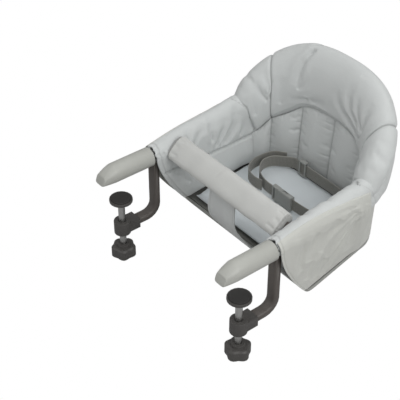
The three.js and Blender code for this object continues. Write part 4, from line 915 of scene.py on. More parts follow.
def back_pad():
    """Padded back: a roll over the hoop, and the cloth below it down to the arch seam."""
    s = sizes()
    half = hoop_route()
    heights = half[:, 2]
    stops = np.linspace(0, 1, len(half))
    shoulder = float(np.interp(-127, -heights, stops))
    hinge = float(np.interp(-s.hinge_z, -heights, stops))
    gradient = unit(np.gradient(half, axis=0))

    def place(u, v):
        signed_u = u * 2 - 1
        share = np.abs(signed_u)
        flip = np.where(signed_u < 0, -1.0, 1.0)[:, None] * np.array([1.0, 0, 0]) + np.array([0, 1.0, 1.0])
        head = along_route(half, share) * flip
        tangent = unit(along_route(gradient, share)) * flip
        turn = np.interp(share, [0, shoulder, hinge, 1], [0.5, 0.273, 0.2, 0.15])
        turn = np.where(signed_u < 0, 1 - turn, turn)
        z_seam = arch_z(turn)
        fx, fy = liner_plan(turn, 0.0, z_seam)
        foot = np.stack([fx, fy, z_seam], axis=1)
        back_z = np.interp(share, [0, shoulder * 0.75, shoulder, hinge, 1], [50, 50, 42, 22, 12])
        bx, by = wrap(turn, 186, s.cover_rear_y, 166, s.corner_y, 312)
        back = np.stack([bx, by, back_z], axis=1)
        # over the hinge the padding closes round it like a sleeve
        low = clamp((share - hinge) / (1 - hinge))
        sleeve_x = np.sign(0.5 - turn) * mix(174, 184, low)
        sleeve = np.stack([sleeve_x, mix(252, 213, low), mix(20, 11, low)], axis=1)
        back = mix(back, sleeve, smooth((share - shoulder) / (hinge - shoulder))[:, None])
        drop = foot - head
        down = unit(drop - tangent * np.sum(drop * tangent, axis=1, keepdims=True))
        inward = np.cross(tangent, down)
        middle = np.array([0.0, 140.0, 0.0]) - head
        inward = unit(inward) * np.sign(np.sum(inward * middle, axis=1, keepdims=True))

        def run(stops, values):
            """One measure of the roll for each point, from its values at stops between top and arm."""
            return np.interp(share, stops, values)[:, None]

        neck = (shoulder + hinge) / 2
        radius = run([0, shoulder, neck, hinge - 0.03, hinge + 0.05, 1], [18, 20, 22, 21.5, 20, 17])
        cap = run([0, shoulder, hinge - 0.03, hinge + 0.04, 0.94, 1], [18, 18, 18.5, 18.5, 21.5, 15])
        slim = run([0, hinge + 0.02, 0.95, 1], [0.75, 0.75, 2.6, 3])
        blunt = run([0, shoulder, hinge, 1], [1.6, 1.6, 0.5, 0.4])
        fullness = run([0, shoulder, hinge, hinge + 0.06, 1], [20, 27, 28, 26, 17])
        crest = run([0, shoulder, hinge, 1], [0.32, 0.3, 0.2, 0.02])
        thin = run([0, hinge, 1], [5, 5, 4])

        def front_fall(t):
            """Front of the pillow, from its crest down to the arch seam."""
            bulge = np.cos(np.pi / 2 * clamp((t - crest) / (1 - crest))) ** slim
            puff = (thin + (fullness - thin) * bulge) * (1 - smooth((t - 0.93) / 0.07) * 0.85)
            return head + (foot - head) * t + inward * puff

        def back_fall(t):
            bulge = clamp(np.cos(np.pi / 2 * clamp(t))) ** blunt
            puff = (thin + (radius - thin) * bulge) * (1 - smooth((t - 0.9) / 0.1) * 0.75)
            hang = np.array([0.0, 6.0, 0.0]) * hump(t) * smooth((0.95 - share) / 0.3)[:, None]
            return head + (back - head) * t - inward * puff + hang

        phi = (clamp((v - FRONT_END) / (ROLL_END - FRONT_END)) * np.pi)[:, None]
        front = front_fall(mix(1, crest, clamp(v / FRONT_END)[:, None]))
        rear = back_fall(clamp((v - ROLL_END) / (REAR_END - ROLL_END))[:, None])
        ahead = phi < np.pi / 2
        over = head + inward * np.where(ahead, fullness, radius) * np.cos(phi)
        over += (foot - head) * np.where(ahead, crest * (1 - np.sin(phi)), 0.0) - down * cap * np.sin(phi)
        close = clamp((v - REAR_END) / (1 - REAR_END))[:, None]
        edge = np.ones((len(v), 1))
        ends = mix(back_fall(edge), front_fall(edge), close)
        points = np.where((v < FRONT_END)[:, None], front, over)
        points = np.where((v > ROLL_END)[:, None], rear, points)
        return np.where((v > REAR_END)[:, None], ends, points)

    piece = grid_piece("back_pad", 260, 150, place)
    edit(piece, weld, fill_ends, face_out)
    u, v = noted(piece, "along"), noted(piece, "across")
    share = np.abs(u * 2 - 1)
    # the shoulder seams cross the roll; the padding swells on both sides of them
    gap = np.abs(share - shoulder) * 250
    wing = hump(clamp((share - shoulder) / (1 - shoulder))) ** 0.7
    front = smooth(v / 0.06) * smooth((0.62 - v) / 0.2)
    push(piece, -3.0 * bell(gap / 2.6) * smooth((0.75 - v) / 0.1) + 2.2 * wing * front)
    # painted shade along the shoulder seams
    darken(piece, 0.9 * bell(gap) * smooth((0.7 - v) / 0.05))
    for line, depth, width, ridge in BACK_FOLDS:
        crease(piece, line, depth, width, ridge)
    for side in (-1, 1):
        press(piece, mirror_line([(186, 236, 74), (172, 234, 78), (154, 236, 66)], side), 2.0, 6)
        press(piece, mirror_line([(190, 252, 96), (172, 246, 100), (152, 252, 90)], side), 1.6, 6)
        press(piece, mirror_line(SLEEVE_SEAM, side), 0.0, SEAM_WIDE, shade=0.5, fade=False)
    turns = np.linspace(0.17, 0.83, 90)
    heights = arch_z(turns)
    xs, ys = liner_plan(turns, 0.0, heights)
    press(piece, np.stack([xs, ys - 1.0, heights + 1.0], axis=1), 0.0, 1.6, shade=0.4, fade=False)
    covered = ["backrest_cover", "hinge_sleeve_right", "hinge_sleeve_left"]
    finish_cloth(piece, "liner", covered, body=None)
    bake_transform(piece)


def back_liner():
    """Quilted liner of the back wall: upright puffed channels below the arch seam."""
    seams = [0.165, 0.273, 0.3556, 0.486, 0.592, 0.727, 0.835]
    foot = -94.0

    def place(u, v):
        turn = mix(seams[0], seams[-1], u)
        top = arch_z(turn) - 0.5
        _, foot_y = liner_plan(turn, 0.0, np.full_like(u, foot))
        z = mix(foot + base_lift(foot_y), top, v)
        channel = np.zeros_like(u)
        for a, b in zip(seams[:-1], seams[1:]):
            inside = (turn >= a) & (turn <= b)
            channel = np.where(inside, hump(clamp((turn - a) / (b - a))) ** 0.62, channel)
        rise = clamp(hump(clamp(v * 0.86 + 0.14))) ** 0.38
        x, y = liner_plan(turn, -13.0 * channel * rise + 1.5, z)
        return np.stack([x, y, z], axis=1)

    piece = grid_piece("back_liner_pad", 300, 90, place)
    face_along(piece, (0, -1, 0))
    u, v = noted(piece, "along"), noted(piece, "across")
    turn = mix(seams[0], seams[-1], u)
    shade = np.zeros_like(u)
    for seam in seams[1:-1]:
        shade = np.maximum(shade, bell((turn - seam) / 0.0022))
    # painted shade along the stitched seams and along the top edge under the arch seam
    darken(piece, np.maximum(0.55 * shade, 0.35 * smooth((v - 0.985) / 0.015)))
    # short dimples on both sides of the stitched seams, where the thread draws the padding in
    z = coords(piece)[:, 2] / MM
    draw = np.zeros_like(u)
    for k, seam in enumerate(seams[1:-1]):
        near = bell((turn - seam) / 0.02) * (1 - bell((turn - seam) / 0.0035))
        wave = np.sin(z * 0.36 + k * 1.7 + 1.8 * np.sin(z * 0.09 + k))
        draw += near * clamp(wave) ** 2 * (0.35 + 0.65 * np.sin(z * 0.053 + k * 2.3) ** 2)
    top_near = bell((1 - v) / 0.1) * (1 - bell((1 - v) / 0.02))
    draw += 0.7 * top_near * clamp(np.sin(turn * 190 + 2 * np.sin(turn * 37))) ** 2
    push(piece, -1.7 * draw)
    for line, depth, width in (
        ([(-68, 288, 44), (-76, 285, 36), (-88, 282, 34)], 1.6, 4),
        ([(-66, 288, 14), (-76, 284, 8), (-84, 283, 10)], 1.8, 4),
        ([(-58, 288, -6), (-44, 288, -10), (-34, 289, -6)], 1.6, 4),
        ([(16, 294, 20), (26, 292, 12), (38, 290, 14)], 1.4, 4),
        ([(18, 292, -18), (30, 290, -26), (44, 286, -24)], 1.6, 4),
        ([(92, 282, 12), (80, 284, 4), (70, 286, 6)], 1.4, 4),
    ):
        press(piece, line, depth, width)
    thicken(piece, 6)
    finish_cloth(piece, "liner", ["back_liner"])


# folds of the outer cloth, which fan from the rear end of the roll; a negative depth stands out
SHELL_FOLDS = (
    (
        [(191, 206, 34), (189, 200, 16), (190, 174, 6), (187, 154, -24), (186, 137, -48), (184, 124, -70)],
        -4.6, 8.8,
    ),
    ([(188, 186, 4), (187, 172, -11), (185, 157, -40), (183, 132, -74), (184, 118, -92)], 4.9, 10),
    ([(190, 148, 26), (190, 138, 12), (188, 122, -6), (186, 108, -28)], 4.9, 11.2),
    (
        [(190, 166, 36), (191, 152, 22), (189, 134, 0), (187, 112, -24), (184, 96, -50), (184, 92, -74)],
        -4.1, 8.8,
    ),
    ([(189, 98, 22), (189, 88, 4), (189, 82, -14), (187, 78, -34)], 4.6, 11.2),
    ([(190, 86, 28), (189, 78, 4), (188, 72, -22), (186, 72, -46)], -3.5, 8.8),
    ([(189, 66, 16), (189, 64, -2), (187, 62, -27), (186, 66, -48)], 4.1, 10),
    ([(186, 50, 32), (188, 48, 8), (188, 46, -19), (186, 46, -45), (185, 54, -62)], -3.2, 8.8),
    ([(184, 92, -40), (184, 85, -61), (184, 80, -80)], 3.0, 8.8),
    ([(187, 120, -50), (184, 106, -74), (184, 98, -92)], 3.5, 8.8),
    ([(190, 182, 38), (191, 190, 24), (188, 197, 6)], -3.2, 7.5),
    ([(190, 194, 24), (190, 188, 8), (186, 184, -30), (181, 180, -66)], 4.1, 10),
)


# cut sizes of the cloth sheets, in metres
SIDE_CUT, REAR_CUT_HIGH, CROTCH_CUT = (0.21, 0.175), 0.17, (0.092, 0.131)
CLOTH_THICK = 1.4
FOOT_LIFT = 6.3
JOIN_GAP = 0.5


def shell_surface(y_share, v):
    """Outer cloth of the right side: v runs from the base up the panel and over the roll."""
    s = sizes()
    # share of the cloth below the roll
    rise = 0.7
    roll_y = mix(s.cover_front_y, s.cover_rear_y, y_share)
    radius = roll_radius(roll_y) + 1.0
    axis = rail_z(roll_y)
    top_turn = np.radians(np.interp(roll_y, *ROLL_EDGE))
    up = clamp(v / rise)
    turn = clamp((v - rise) / (1 - rise)) * top_turn
    foot_z = s.base_z + FOOT_LIFT
    over_z = axis + radius * np.sin(turn) + crown_rise(y_share, np.sin(turn))
    z = np.where(v < rise, mix(foot_z, axis, up), over_z)
    y = mix(front_edge_y(z), s.cover_rear_y + JOIN_GAP, y_share)
    foot_x = base_half(np.maximum(y, s.base_front_y))
    wall_x = mix(foot_x, s.arm_x + radius, 1 - (1 - up) ** 1.7)
    x = np.where(v < rise, wall_x, s.arm_x + radius * np.cos(turn))
    # the top edge dives into the roll and the foot tucks in above the bound edge
    dive = 2.2 * smooth((v - 0.97) / 0.03)
    x = x - dive * np.cos(turn) - 1.6 * smooth((0.025 - v) / 0.025)
    return x, y, z - dive * np.sin(turn) + base_lift(y) * (1 - up)


def side_shell(side):
    """Outer side panel: woven cloth from the top of the roll to the base, with fanned folds."""

    def place(u, v):
        x, y, z = shell_surface(u, v)
        ray = np.arctan2(34 - z, 204 - y)
        reach = np.hypot(34 - z, 204 - y)
        calm = np.minimum(1, 6 * (1 - u)) * np.minimum(1, 7 * u) * clamp(hump(clamp(v / 0.9))) ** 0.7
        folds = 0.8 * np.sin(ray * 15 + 0.7) + 0.5 * np.sin(ray * 27 + 2.1)
        x = x + calm * folds * bell((reach - 60) / 80) - 1.6 * calm
        return np.stack([side * x, y, z], axis=1)

    piece = grid_piece("side_shell_" + hand(side), 170, 150, place)
    face_along(piece, (side, 0, 0))
    for line, depth, width in SHELL_FOLDS:
        press(piece, mirror_line(line, side), depth, width)
    u, v = noted(piece, "along"), noted(piece, "across")
    stitch = bell((u - 0.03) / 0.006)
    push(piece, -0.4 * stitch)
    # the stitch row is drawn darker, and the foot gets a painted shadow where it tucks in above the binding
    darken(piece, np.maximum(0.3 * stitch, 0.85 * smooth((0.02 - v) / 0.02)))
    thicken(piece, CLOTH_THICK)
    finish_cloth(piece, "shell", ["side_panel_" + hand(side)])
    long, high = SIDE_CUT
    min(sheet_area(piece), long * high)


def sheet_area(piece):
    """Area of one side of a thickened sheet, in square metres."""
    faces = np.empty(len(piece.data.polygons))
    piece.data.polygons.foreach_get("area", faces)
    return float(faces.sum()) / 2


def rear_shell():
    """Outer rear panel: the same cloth round the rear corners, sewn to the side panels."""
    s = sizes()
    join_y = s.cover_rear_y + JOIN_GAP
    radius = s.roll_rear + 1.0

    def place(turn, v):
        share = np.where(turn > 0.5, 1 - turn, turn)
        flip = np.sign(0.5 - turn)
        seam_x, _, seam_z = shell_surface(np.ones_like(v), v)
        top = np.interp(share, [0, 0.06, SIDE, 0.2, 0.3, 0.5], [58, 50, 32, 32, 46, 54])
        _, foot_y = wrap(turn, base_half(join_y), join_y, s.base_rear_half, s.corner_y, s.base_rear_y)
        z = mix(s.base_z + FOOT_LIFT + base_lift(foot_y), top, v)
        level = clamp((z - s.base_z) / (36 - s.base_z))
        level = np.where(share < SIDE, 1 - (1 - level) ** 1.7, level)
        x, y = wrap(
            turn,
            mix(base_half(join_y), s.arm_x + s.roll_rear + 1.0, level),
            join_y,
            mix(s.base_rear_half, s.arm_x + 8.0, level),
            s.corner_y,
            mix(s.base_rear_y, 307 + 9 * smooth((share - 0.3) / 0.15), clamp(level)),
        )
        # near the arm the cloth turns in over the roll
        over = np.clip(z - rail_z(s.cover_rear_y), 0, radius - 1)
        drop = (radius - np.sqrt(radius**2 - over**2)) * smooth((0.2 - share) / 0.14)
        dive = 3.0 * smooth((v - 0.93) / 0.07)
        fold = 2.0 * hump(v) * hump(5 * turn) ** 2 * smooth((share - 0.03) / 0.08)
        tuck = 1.6 * smooth((0.025 - v) / 0.025)
        pull = drop + dive + fold + tuck
        out_x = flip * np.interp(share, [0, SIDE, 0.3, 0.5], [1, 1, 0.5, 0])
        out_y = np.interp(share, [0, SIDE, 0.3, 0.5], [0, 0.2, 0.9, 1])
        away = smooth((share - 0.08) / 0.1)
        x = mix(flip * seam_x, x - out_x * pull, away)
        return np.stack([x, y - out_y * pull * away, mix(seam_z, z, away)], axis=1)

    piece = grid_piece("rear_shell", 280, 110, place)
    face_along(piece, (0, 1, 0))
    # painted shadow along the foot where it tucks in above the binding
    darken(piece, 0.85 * smooth((0.02 - noted(piece, "across")) / 0.02))
    for side in (-1, 1):
        for line, depth, width in SHELL_FOLDS:
            press(piece, mirror_line(line, side), depth, width)
        press(piece, mirror_line([(190, 212, 30), (187, 216, -6), (179, 220, -50)], side), -1.6, 6)
        press(piece, mirror_line([(190, 232, 28), (183, 240, -10), (172, 246, -50)], side), 1.8, 8)
    thicken(piece, CLOTH_THICK)
    finish_cloth(piece, "shell", ["rear_panel"])
    area = sheet_area(piece)


def bar_pad():
    """Padded sleeve of the front bar: smooth in the middle, drawn into ribbed cuffs at its ends."""
    s = sizes()
    tilt = math.radians(42)
    along = np.array([0.0, math.cos(tilt), math.sin(tilt)])
    up = np.array([0.0, -math.sin(tilt), math.cos(tilt)])
    middle = np.array([0.0, s.bar_y, s.bar_z])
    cuff = 0.955

    def place(u, v):
        run = u * 2 - 1
        angle = v * 2 * np.pi
        cuffed = smooth((np.abs(run) - cuff) / 0.012)
        end = 1 - 0.13 * cuffed - 0.35 * smooth((np.abs(run) - 0.992) / 0.008)
        rib = 1 + 0.035 * cuffed * np.sin(angle * 22)
        a = s.bar_wide / 2 * squared(np.cos(angle), 0.75) * end * rib
        b = s.bar_thick / 2 * squared(np.sin(angle), 0.75) * end * rib
        points = middle + along * a[:, None] + up * b[:, None]
        points[:, 0] = run * s.bar_half
        return points

    piece = grid_piece("bar_pad", 300, 132, place)
    edit(piece, weld, fill_ends, face_out)
    swell(piece, ((0.3, (1, 0.3, 0), 61, 0.3), (0.25, (1, -0.6, 0.2), 37, 1.2), (0.2, (0.4, 1, 1), 45, 2.0)))
    half = s.bar_half
    for side in (-1, 1):
        for k, (y, z, depth) in enumerate(((44, 44, 1.6), (58, 50, 1.5), (36, 30, 1.4), (66, 52, 1.2))):
            press(piece, [(side * (half - 6), y, z), (side * (half - 20 - 4 * k), y + 1, z + 1)], depth, 3.2)
    press(piece, [(-24, 40, 42), (-20, 54, 50), (-18, 66, 54)], 0.7, 4)
    # lengthwise seam low on the front face
    low = middle - along * (s.bar_wide / 2 - 1) + up * 1.5
    press(piece, [(x, low[1], low[2]) for x in (-half, 0, half)], 0.9, 2.2, shade=0.35, fade=False)
    darken(piece, 0.75 * smooth((np.abs(noted(piece, "along") * 2 - 1) - cuff) / 0.01))
    finish_cloth(piece, "bar", ["bar_sleeve"])


def crotch_cloth():
    """Crotch panel: one sheet of cloth from under the bar down to the front of the seat."""
    s = sizes()
    hang_y, hang_z = 43, 8.6
    route = spline([(0, hang_y, hang_z), (0, hang_y, -42), (0, s.base_front_y - 1.8, -111)], 80)
    slope = unit(np.gradient(route, axis=0))
    top_half, foot_half = 34.0, 46.0

    def place(u, v):
        centre = along_route(route, v)
        tangent = unit(along_route(slope, v))
        half = mix(top_half, foot_half, v)
        out = np.stack([np.zeros_like(v), tangent[:, 2], -tangent[:, 1]], axis=1)
        across = u * 2 - 1
        fold = hump(v) * (1.6 * np.sin(across * 5.0 + v * 2.5) + 0.8 * np.sin(across * 9 - v * 4))
        points = centre + out * (fold * 0.8)[:, None]
        points[:, 0] = across * half * (1 - 0.05 * hump(v))
        return points

    piece = grid_piece("crotch_cloth", 50, 80, place)
    edit(piece, face_out)
    u = noted(piece, "along")
    darken(piece, 0.35 * np.maximum(bell((u - 0.06) / 0.012), bell((u - 0.94) / 0.012)))
    thicken(piece, 2.2, offset=0.0)
    finish_cloth(piece, "liner", ["crotch_panel"])
    wide, long = CROTCH_CUT
    area = min(sheet_area(piece), wide * long)


def settle(piece, cap, voxel=0.0045, pressure=4.0):
    """Lets cloth under pressure settle the padding, no point moving further than the cap in millimetres."""
    modify(piece, "REMESH", mode="VOXEL", voxel_size=voxel)
    start = coords(piece)
    only(piece)
    cloth = piece.modifiers.new("cloth", "CLOTH")
    cloth.settings.use_pressure = True
    cloth.settings.uniform_pressure_force = pressure
    cloth.settings.effector_weights.gravity = 0.0
    cloth.settings.quality = 5
    cloth.point_cache.frame_start = 1
    cloth.point_cache.frame_end = 20
    for step in range(1, 21):
        bpy.context.scene.frame_set(step)
    bpy.ops.object.modifier_apply(modifier=cloth.name)
    bpy.context.scene.frame_set(1)
    move = coords(piece) - start
    reach = np.linalg.norm(move, axis=1, keepdims=True)
    set_coords(piece, start + move * np.minimum(1, cap * MM / np.maximum(reach, 1e-9)))


def seat_pad():
    """Seat pad: a crowned cushion on the sloping base, drawn in at its sides and settled by simulation."""
    s = sizes()
    board_top = 6.6
    board = s.base_z + board_top
    front, rear = 93.0, s.liner_foot_y - 6
    front_half, rear_half = 144.8, 141.4
    front_top, rear_top = -88.0, -61.0
    rim_high, crown_high = 8.4, 6.0

    def outline(y):
        side = mix(front_half, rear_half, clamp((y - front) / (s.corner_y - front)))
        back = clamp((y - s.corner_y) / (rear - s.corner_y))
        return side * np.maximum(1 - back**SQUARE, 0.05) ** (1 / SQUARE)

    def place(u, v):
        # one closed loop over the top and back under the pad
        over = v < 0.5
        t = np.where(over, v * 2, 2 - v * 2)
        y = mix(front, rear, t)
        bottom = board + base_lift(y)
        x = (u * 2 - 1) * outline(y)
        rim = np.minimum(1 - np.abs(u * 2 - 1), 1 - np.abs(t * 2 - 1))
        edge = np.sqrt(np.minimum(1, 7 * rim))
        height = mix(front_top, rear_top, t) - board_top
        crown = crown_high * hump(u) * hump(t)
        z = np.where(over, mix(bottom + rim_high, height + crown, edge), bottom + 0.5 + 4 * (1 - edge))
        return np.stack([x, y, z], axis=1)

    piece = grid_piece("seat_pad", 100, 160, place)
    edit(piece, weld, fill_ends, face_out)
    settle(piece, cap=3)
    points = coords(piece) / MM
    points[:, 2] = np.maximum(points[:, 2], board + base_lift(points[:, 1]))
    set_coords(piece, points * MM)
    modify(piece, "SUBSURF", levels=1)
    edit(piece, face_out)
    finish_cloth(piece, "seat", ["seat_cushion"])


def base_outline(count):
    """Outline of the base, evenly spaced, from the front left corner round the rear."""
    s = sizes()
    front, y0 = s.base_front_half, s.base_front_y
    turns = np.linspace(0.02, 0.98, 120)
    xs, ys = wrap(turns, front, y0 + 12, s.base_rear_half, s.corner_y, s.base_rear_y)
    corner = [(front - 12, y0), (front - 4, y0 + 1.2), (front - 1, y0 + 5)]
    right = [(x, y, 0) for x, y in corner]
    left = [(-x, y, 0) for x, y in reversed(corner)]
    middle = [(x, y, 0) for x, y in zip(xs, ys)]
    ring = [(0, y0, 0), *right, *middle, *left, (0, y0, 0)]
    return spline(ring, count)


def base_piping():
    """Bound edge of the base: a woven tape folded round the board's rim."""
    s = sizes()
    ring = base_outline(400)
    ahead = unit(np.gradient(ring, axis=0))
    out = np.stack([ahead[:, 1], -ahead[:, 0], np.zeros(len(ring))], axis=1)

    def place(u, v):
        centre = along_route(ring, u)
        aside = unit(along_route(out, u))
        angle = v * 2 * np.pi
        wide = 1.5 * squared(np.cos(angle), 0.8)
        tall = 4.0 * squared(np.sin(angle), 0.7)
        points = centre + aside * (wide - 1.3)[:, None]
        points[:, 2] = s.base_z + 2.0 + tall + base_lift(points[:, 1])
        return points

    piece = grid_piece("base_piping", 420, 24, place)
    edit(piece, weld, face_out)
    v = noted(piece, "across")
    # painted shadow along the binding's upper face, under the tucked foot of the outer cloth
    note(piece, "seam", 0.8 * bell((v - 0.2) / 0.05))
    finish_cloth(piece, "binding", ["edge_binding"])


# Webbing


# centre lines of the straps, as in the CAD source
STRAPS = {
    "belt": [
        (127, 247, -46), (95, 261, -46), (60, 267, -47), (25, 268, -48), (-4, 268, -48), (-28, 268, -48),
        (-40, 268, -48), (-52, 268, -48), (-68, 254, -47), (-83, 238, -47), (-87, 220, -48), (-80, 204, -49),
        (-66, 191, -51), (-48, 183, -52),
    ],
    "return": [
        (-72, 266, -46), (-92, 250, -46), (-100, 224, -47), (-98, 198, -48), (-84, 178, -50), (-60, 172, -52),
        (-42, 175, -52),
    ],
    "fixed": [(84, 184, -53), (112, 196, -55), (138, 212, -58)],
}
BUCKLE_Y, BUCKLE_Z = 180, -52


def strap_route(strap):
    """Centre line of a strap, carried on to the buckle where it holds one."""
    keys = STRAPS[strap]
    if strap == "belt":
        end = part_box("buckle_tongue")[0].x / MM
        return spline([*keys, (end - 17, BUCKLE_Y, BUCKLE_Z), (end - 0.6, BUCKLE_Y, BUCKLE_Z)], 400)
    if strap == "fixed":
        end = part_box("buckle_socket")[1].x / MM
        return spline([(end + 0.6, BUCKLE_Y, BUCKLE_Z), (end + 12, BUCKLE_Y, BUCKLE_Z), *keys], 300)
    return spline(keys, 400)


def webbing(strap):
    """One length of harness webbing, standing on its edge along its CAD route."""
    s = sizes()
    route = strap_route(strap)
    ahead = unit(np.gradient(route, axis=0))
    side = unit(np.stack([-ahead[:, 1], ahead[:, 0], np.zeros(len(route))], axis=1))
    size = np.linalg.norm(np.diff(route, axis=0), axis=1).sum()
    half = s.webbing_wide / 2

    def place(u, v):
        centre = along_route(route, u)
        aside = unit(along_route(side, u))
        angle = v * 2 * np.pi
        points = centre + aside * (s.webbing_thick / 2 * squared(np.sin(angle), 0.35))[:, None]
        points[:, 2] += half * squared(np.cos(angle), 0.35)
        return points

    piece = grid_piece(strap + "_webbing", max(int(size / 1.5), 20), 40, place)
    edit(piece, weld, fill_ends, face_out)
    u = noted(piece, "along")
    heights = coords(piece)[:, 2] / MM
    base = np.interp(u, np.linspace(0, 1, len(route)), route[:, 2])
    note(piece, "along", u * size)
    note(piece, "across", heights - base + half)
    smooth_shade(piece, 50)
    dress(piece, "webbing")
    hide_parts(strap + "_strap")
    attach(piece, "frame")


# Hard pieces


def refined(node, kind, bevel=0.6, name=None, angle=35):
    """A welded copy of a CAD node with edges softened by bevel millimetres, which stands for it."""
    source = frame["nodes"][node]
    bpy.ops.object.select_all(action="DESELECT")
    source.select_set(True)
    bpy.context.view_layer.objects.active = source
    bpy.ops.object.duplicate()
    piece = bpy.context.object
    piece.name = name or node + "_finished"
    piece.parent = None
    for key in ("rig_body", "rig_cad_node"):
        if key in piece:
            del piece[key]
    edit(piece, lambda: weld(0.00002), lambda: bpy.ops.mesh.tris_convert_to_quads(), face_out)
    if bevel:
        limit = {"limit_method": "ANGLE", "angle_limit": math.radians(angle)}
        modify(piece, "BEVEL", width=bevel * MM, segments=2, use_clamp_overlap=True, **limit)
    smooth_shade(piece, 40)
    dress(piece, kind)
    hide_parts(node)
    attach(piece, source["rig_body"])


def grip(side):
    """Grip: a soft plastic tube with a bluff chamfered nose."""
    name = "grip_cover_" + hand(side)
    refined("grip_" + hand(side), "grip", bevel=1.4, angle=28, name=name)


# Stage


# the photograph's camera: place in metres, angles in degrees, lens and sensor in millimetres
CAMERA_PLACE = (1.1566, -0.9313, 1.1835)
CAMERA_AZIMUTH, CAMERA_ELEVATION = 51.4, 38.0
LENS, SENSOR = 97.2, 36.0
FLOOR_Z = -0.2025
AMBIENT = 0.34
# name, place, target, size and power of each soft light
LIGHTS = (
    ("key", (1.9, -0.1, 1.5), (0.0, 0.15, 0.0), 1.6, 28.0),
    ("top", (-0.1, 0.0, 2.3), (0.0, 0.15, 0.0), 2.2, 17.0),
    ("fill", (-0.9, -1.9, 1.1), (0.0, 0.1, 0.0), 1.4, 6.5),
    ("rim", (0.3, 1.8, 1.4), (0.0, 0.2, 0.1), 1.4, 3.0),
)


def seen_by_camera(tree):
    """One where a ray comes from the camera, so that light falls on the chair as it would in a room."""
    path = add_node(tree, "LightPath").outputs
    rays = {0: path["Is Camera Ray"], 1: path["Is Transmission Ray"]}
    return add_node(tree, "Math", rays, operation="MAXIMUM").outputs["Value"]


def aim(thing, place, way):
    """Puts a lamp or the camera at its place, looking along the way."""
    bpy.context.scene.collection.objects.link(thing)
    thing.location = place
    thing.rotation_euler = Vector(way).to_track_quat("-Z", "Y").to_euler()


def stage():
    """White floor and backdrop, soft studio light and the photograph's camera."""
    scene = bpy.context.scene
    bpy.ops.object.select_all(action="DESELECT")
    bpy.ops.mesh.primitive_plane_add(size=12, location=(0, 0, FLOOR_Z))
    floor = bpy.context.object
    floor.name = "floor"
    made, tree, shader = new_material("white_floor")
    feed(tree, shader, {"Base Color": (0.5, 0.5, 0.5, 1), "Roughness": 0.9})
    glow = add_node(tree, "Emission", {"Color": (1, 1, 1, 1), "Strength": 1.0})
    faces = {0: seen_by_camera(tree), 1: shader.outputs["BSDF"], 2: glow.outputs["Emission"]}
    both = add_node(tree, "MixShader", faces)
    feed(tree, tree.nodes["Material Output"], {"Surface": both.outputs["Shader"]})
    floor.data.materials.append(made)
    world = bpy.data.worlds.new("studio")
    world.use_nodes = True
    scene.world = world
    tree = world.node_tree
    span = {"Value": seen_by_camera(tree), "To Min": AMBIENT, "To Max": 1.0}
    power = add_node(tree, "MapRange", span)
    feed(tree, tree.nodes["Background"], {"Color": (1, 1, 1, 1), "Strength": power.outputs["Result"]})
    for name, place, target, size, watts in LIGHTS:
        data = bpy.data.lights.new(name, "AREA")
        data.shape = "SQUARE"
        data.size = size
        data.energy = watts
        aim(bpy.data.objects.new(name, data), place, Vector(target) - Vector(place))
    data = bpy.data.cameras.new("camera")
    data.sensor_width = SENSOR
    data.lens = LENS
    camera = bpy.data.objects.new("camera", data)
    azimuth, elevation = math.radians(CAMERA_AZIMUTH), math.radians(CAMERA_ELEVATION)
    flat = math.cos(elevation)
    aim(camera, CAMERA_PLACE, (-math.sin(azimuth) * flat, math.cos(azimuth) * flat, -math.sin(elevation)))
    scene.camera = camera
    scene.view_settings.view_transform = "Standard"


# Operators


def check_made(*names):
    """Stops the script where a piece is missing, because a cancelled operator doesn't."""
    missing = [n for n in names if n not in bpy.data.objects]
    if missing:
        raise RuntimeError("not made: " + ", ".join(missing))


class CHAIR_OT_stage(bpy.types.Operator):
    """Makes the floor, the light and the camera"""

    bl_idname = "chair.stage"
    bl_label = "Stage"

    def execute(self, context):
        stage()
        check_made("floor", "camera")
        return {"FINISHED"}


class CHAIR_OT_arms(bpy.types.Operator):
    """Makes the padded arm covers"""

    bl_idname = "chair.arms"
    bl_label = "Arm covers"

    def execute(self, context):
        check_made("back_pad")
        for side in (1, -1):
            arm_cover(side)
        check_made("arm_cover_right", "arm_cover_left")
        return {"FINISHED"}


class CHAIR_OT_back(bpy.types.Operator):
    """Makes the padded back and its quilted liner"""

    bl_idname = "chair.back"
    bl_label = "Back"

    def execute(self, context):
        back_pad()
        back_liner()
        check_made("back_pad", "back_liner_pad")
        return {"FINISHED"}


class CHAIR_OT_shell(bpy.types.Operator):
    """Makes the outer cloth and the bound edge of the base"""

    bl_idname = "chair.shell"
    bl_label = "Outer cloth"

    def execute(self, context):
        for side in (1, -1):
            side_shell(side)
        rear_shell()
        base_piping()
        check_made("side_shell_right", "side_shell_left", "rear_shell", "base_piping")
        return {"FINISHED"}


class CHAIR_OT_seat(bpy.types.Operator):
    """Makes the seat pad, the bar's pad and the crotch panel"""

    bl_idname = "chair.seat"
    bl_label = "Seat and bar"

    def execute(self, context):
        seat_pad()
        bar_pad()
        crotch_cloth()
        check_made("seat_pad", "bar_pad", "crotch_cloth")
        return {"FINISHED"}


class CHAIR_OT_harness(bpy.types.Operator):
    """Makes the harness webbing"""

    bl_idname = "chair.harness"
    bl_label = "Harness"

    def execute(self, context):
        for strap in STRAPS:
            webbing(strap)
        for node in ("strap_slider", "buckle_socket", "buckle_tongue"):
            refined(node, "buckle", bevel=0.5)
        check_made(*(strap + "_webbing" for strap in STRAPS))
        return {"FINISHED"}


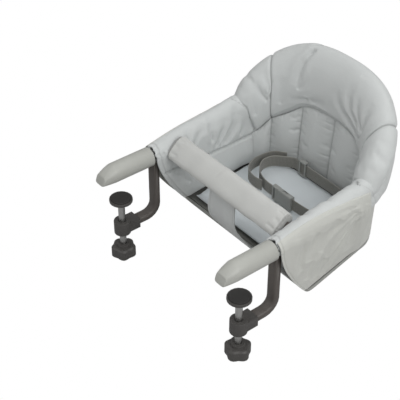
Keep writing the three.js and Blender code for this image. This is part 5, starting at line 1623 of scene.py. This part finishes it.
class CHAIR_OT_frame(bpy.types.Operator):
    """Makes the grips and finishes the metal and plastic of the frame"""

    bl_idname = "chair.frame"
    bl_label = "Frame and clamps"

    def execute(self, context):
        for side in (1, -1):
            grip(side)
        for side in ("right", "left"):
            refined("clamp_knob_" + side, "dark", bevel=0.8, angle=30)
            refined("nut_block_" + side, "dark", bevel=0.8)
            refined("pad_cup_" + side, "dark", bevel=0.5)
            refined("clamp_leg_" + side, "paint", bevel=0.0)
        kinds = {
            "rail_tube": "steel", "clamp_screw": "steel", "clamp_pad": "rubber", "hinge_bracket": "paint",
            "hinge_pin": "steel", "bracket_rivet": "steel", "hoop_end": "dark", "hoop_tube": "steel",
            "bar_core": "paint", "seat_board": "board",
        }
        for name, node in frame["nodes"].items():
            kind = next((k for stem, k in kinds.items() if name.startswith(stem)), None)
            if kind and not node.hide_render:
                for slot in node.material_slots:
                    slot.material = material(kind)
        return {"FINISHED"}


class CHAIR_PT_panel(bpy.types.Panel):
    """Sizes, colours and the steps that build the chair"""

    bl_idname = "CHAIR_PT_panel"
    bl_label = "Table chair"
    bl_space_type = "VIEW_3D"
    bl_region_type = "UI"
    bl_category = "Table chair"

    def draw(self, context):
        for group in (context.scene.chair_sizes, context.scene.chair_colours):
            for key in group.__annotations__:
                self.layout.prop(group, key)
        for operator in OPERATORS:
            self.layout.operator(operator.bl_idname)


OPERATORS = (
    CHAIR_OT_stage,
    CHAIR_OT_back,
    CHAIR_OT_arms,
    CHAIR_OT_shell,
    CHAIR_OT_seat,
    CHAIR_OT_harness,
    CHAIR_OT_frame,
)


def register():
    for cls in (ChairSizes, ChairColours, *OPERATORS, CHAIR_PT_panel):
        bpy.utils.register_class(cls)
    bpy.types.Scene.chair_sizes = PointerProperty(type=ChairSizes)
    bpy.types.Scene.chair_colours = PointerProperty(type=ChairColours)


def unregister():
    del bpy.types.Scene.chair_colours
    del bpy.types.Scene.chair_sizes
    for cls in reversed((ChairSizes, ChairColours, *OPERATORS, CHAIR_PT_panel)):
        bpy.utils.unregister_class(cls)


def main():
    register()
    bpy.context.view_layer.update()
    bpy.ops.chair.stage()
    bpy.ops.chair.back()
    bpy.ops.chair.arms()
    bpy.ops.chair.shell()
    bpy.ops.chair.seat()
    bpy.ops.chair.harness()
    bpy.ops.chair.frame()


if __name__ == "__main__":
    main()
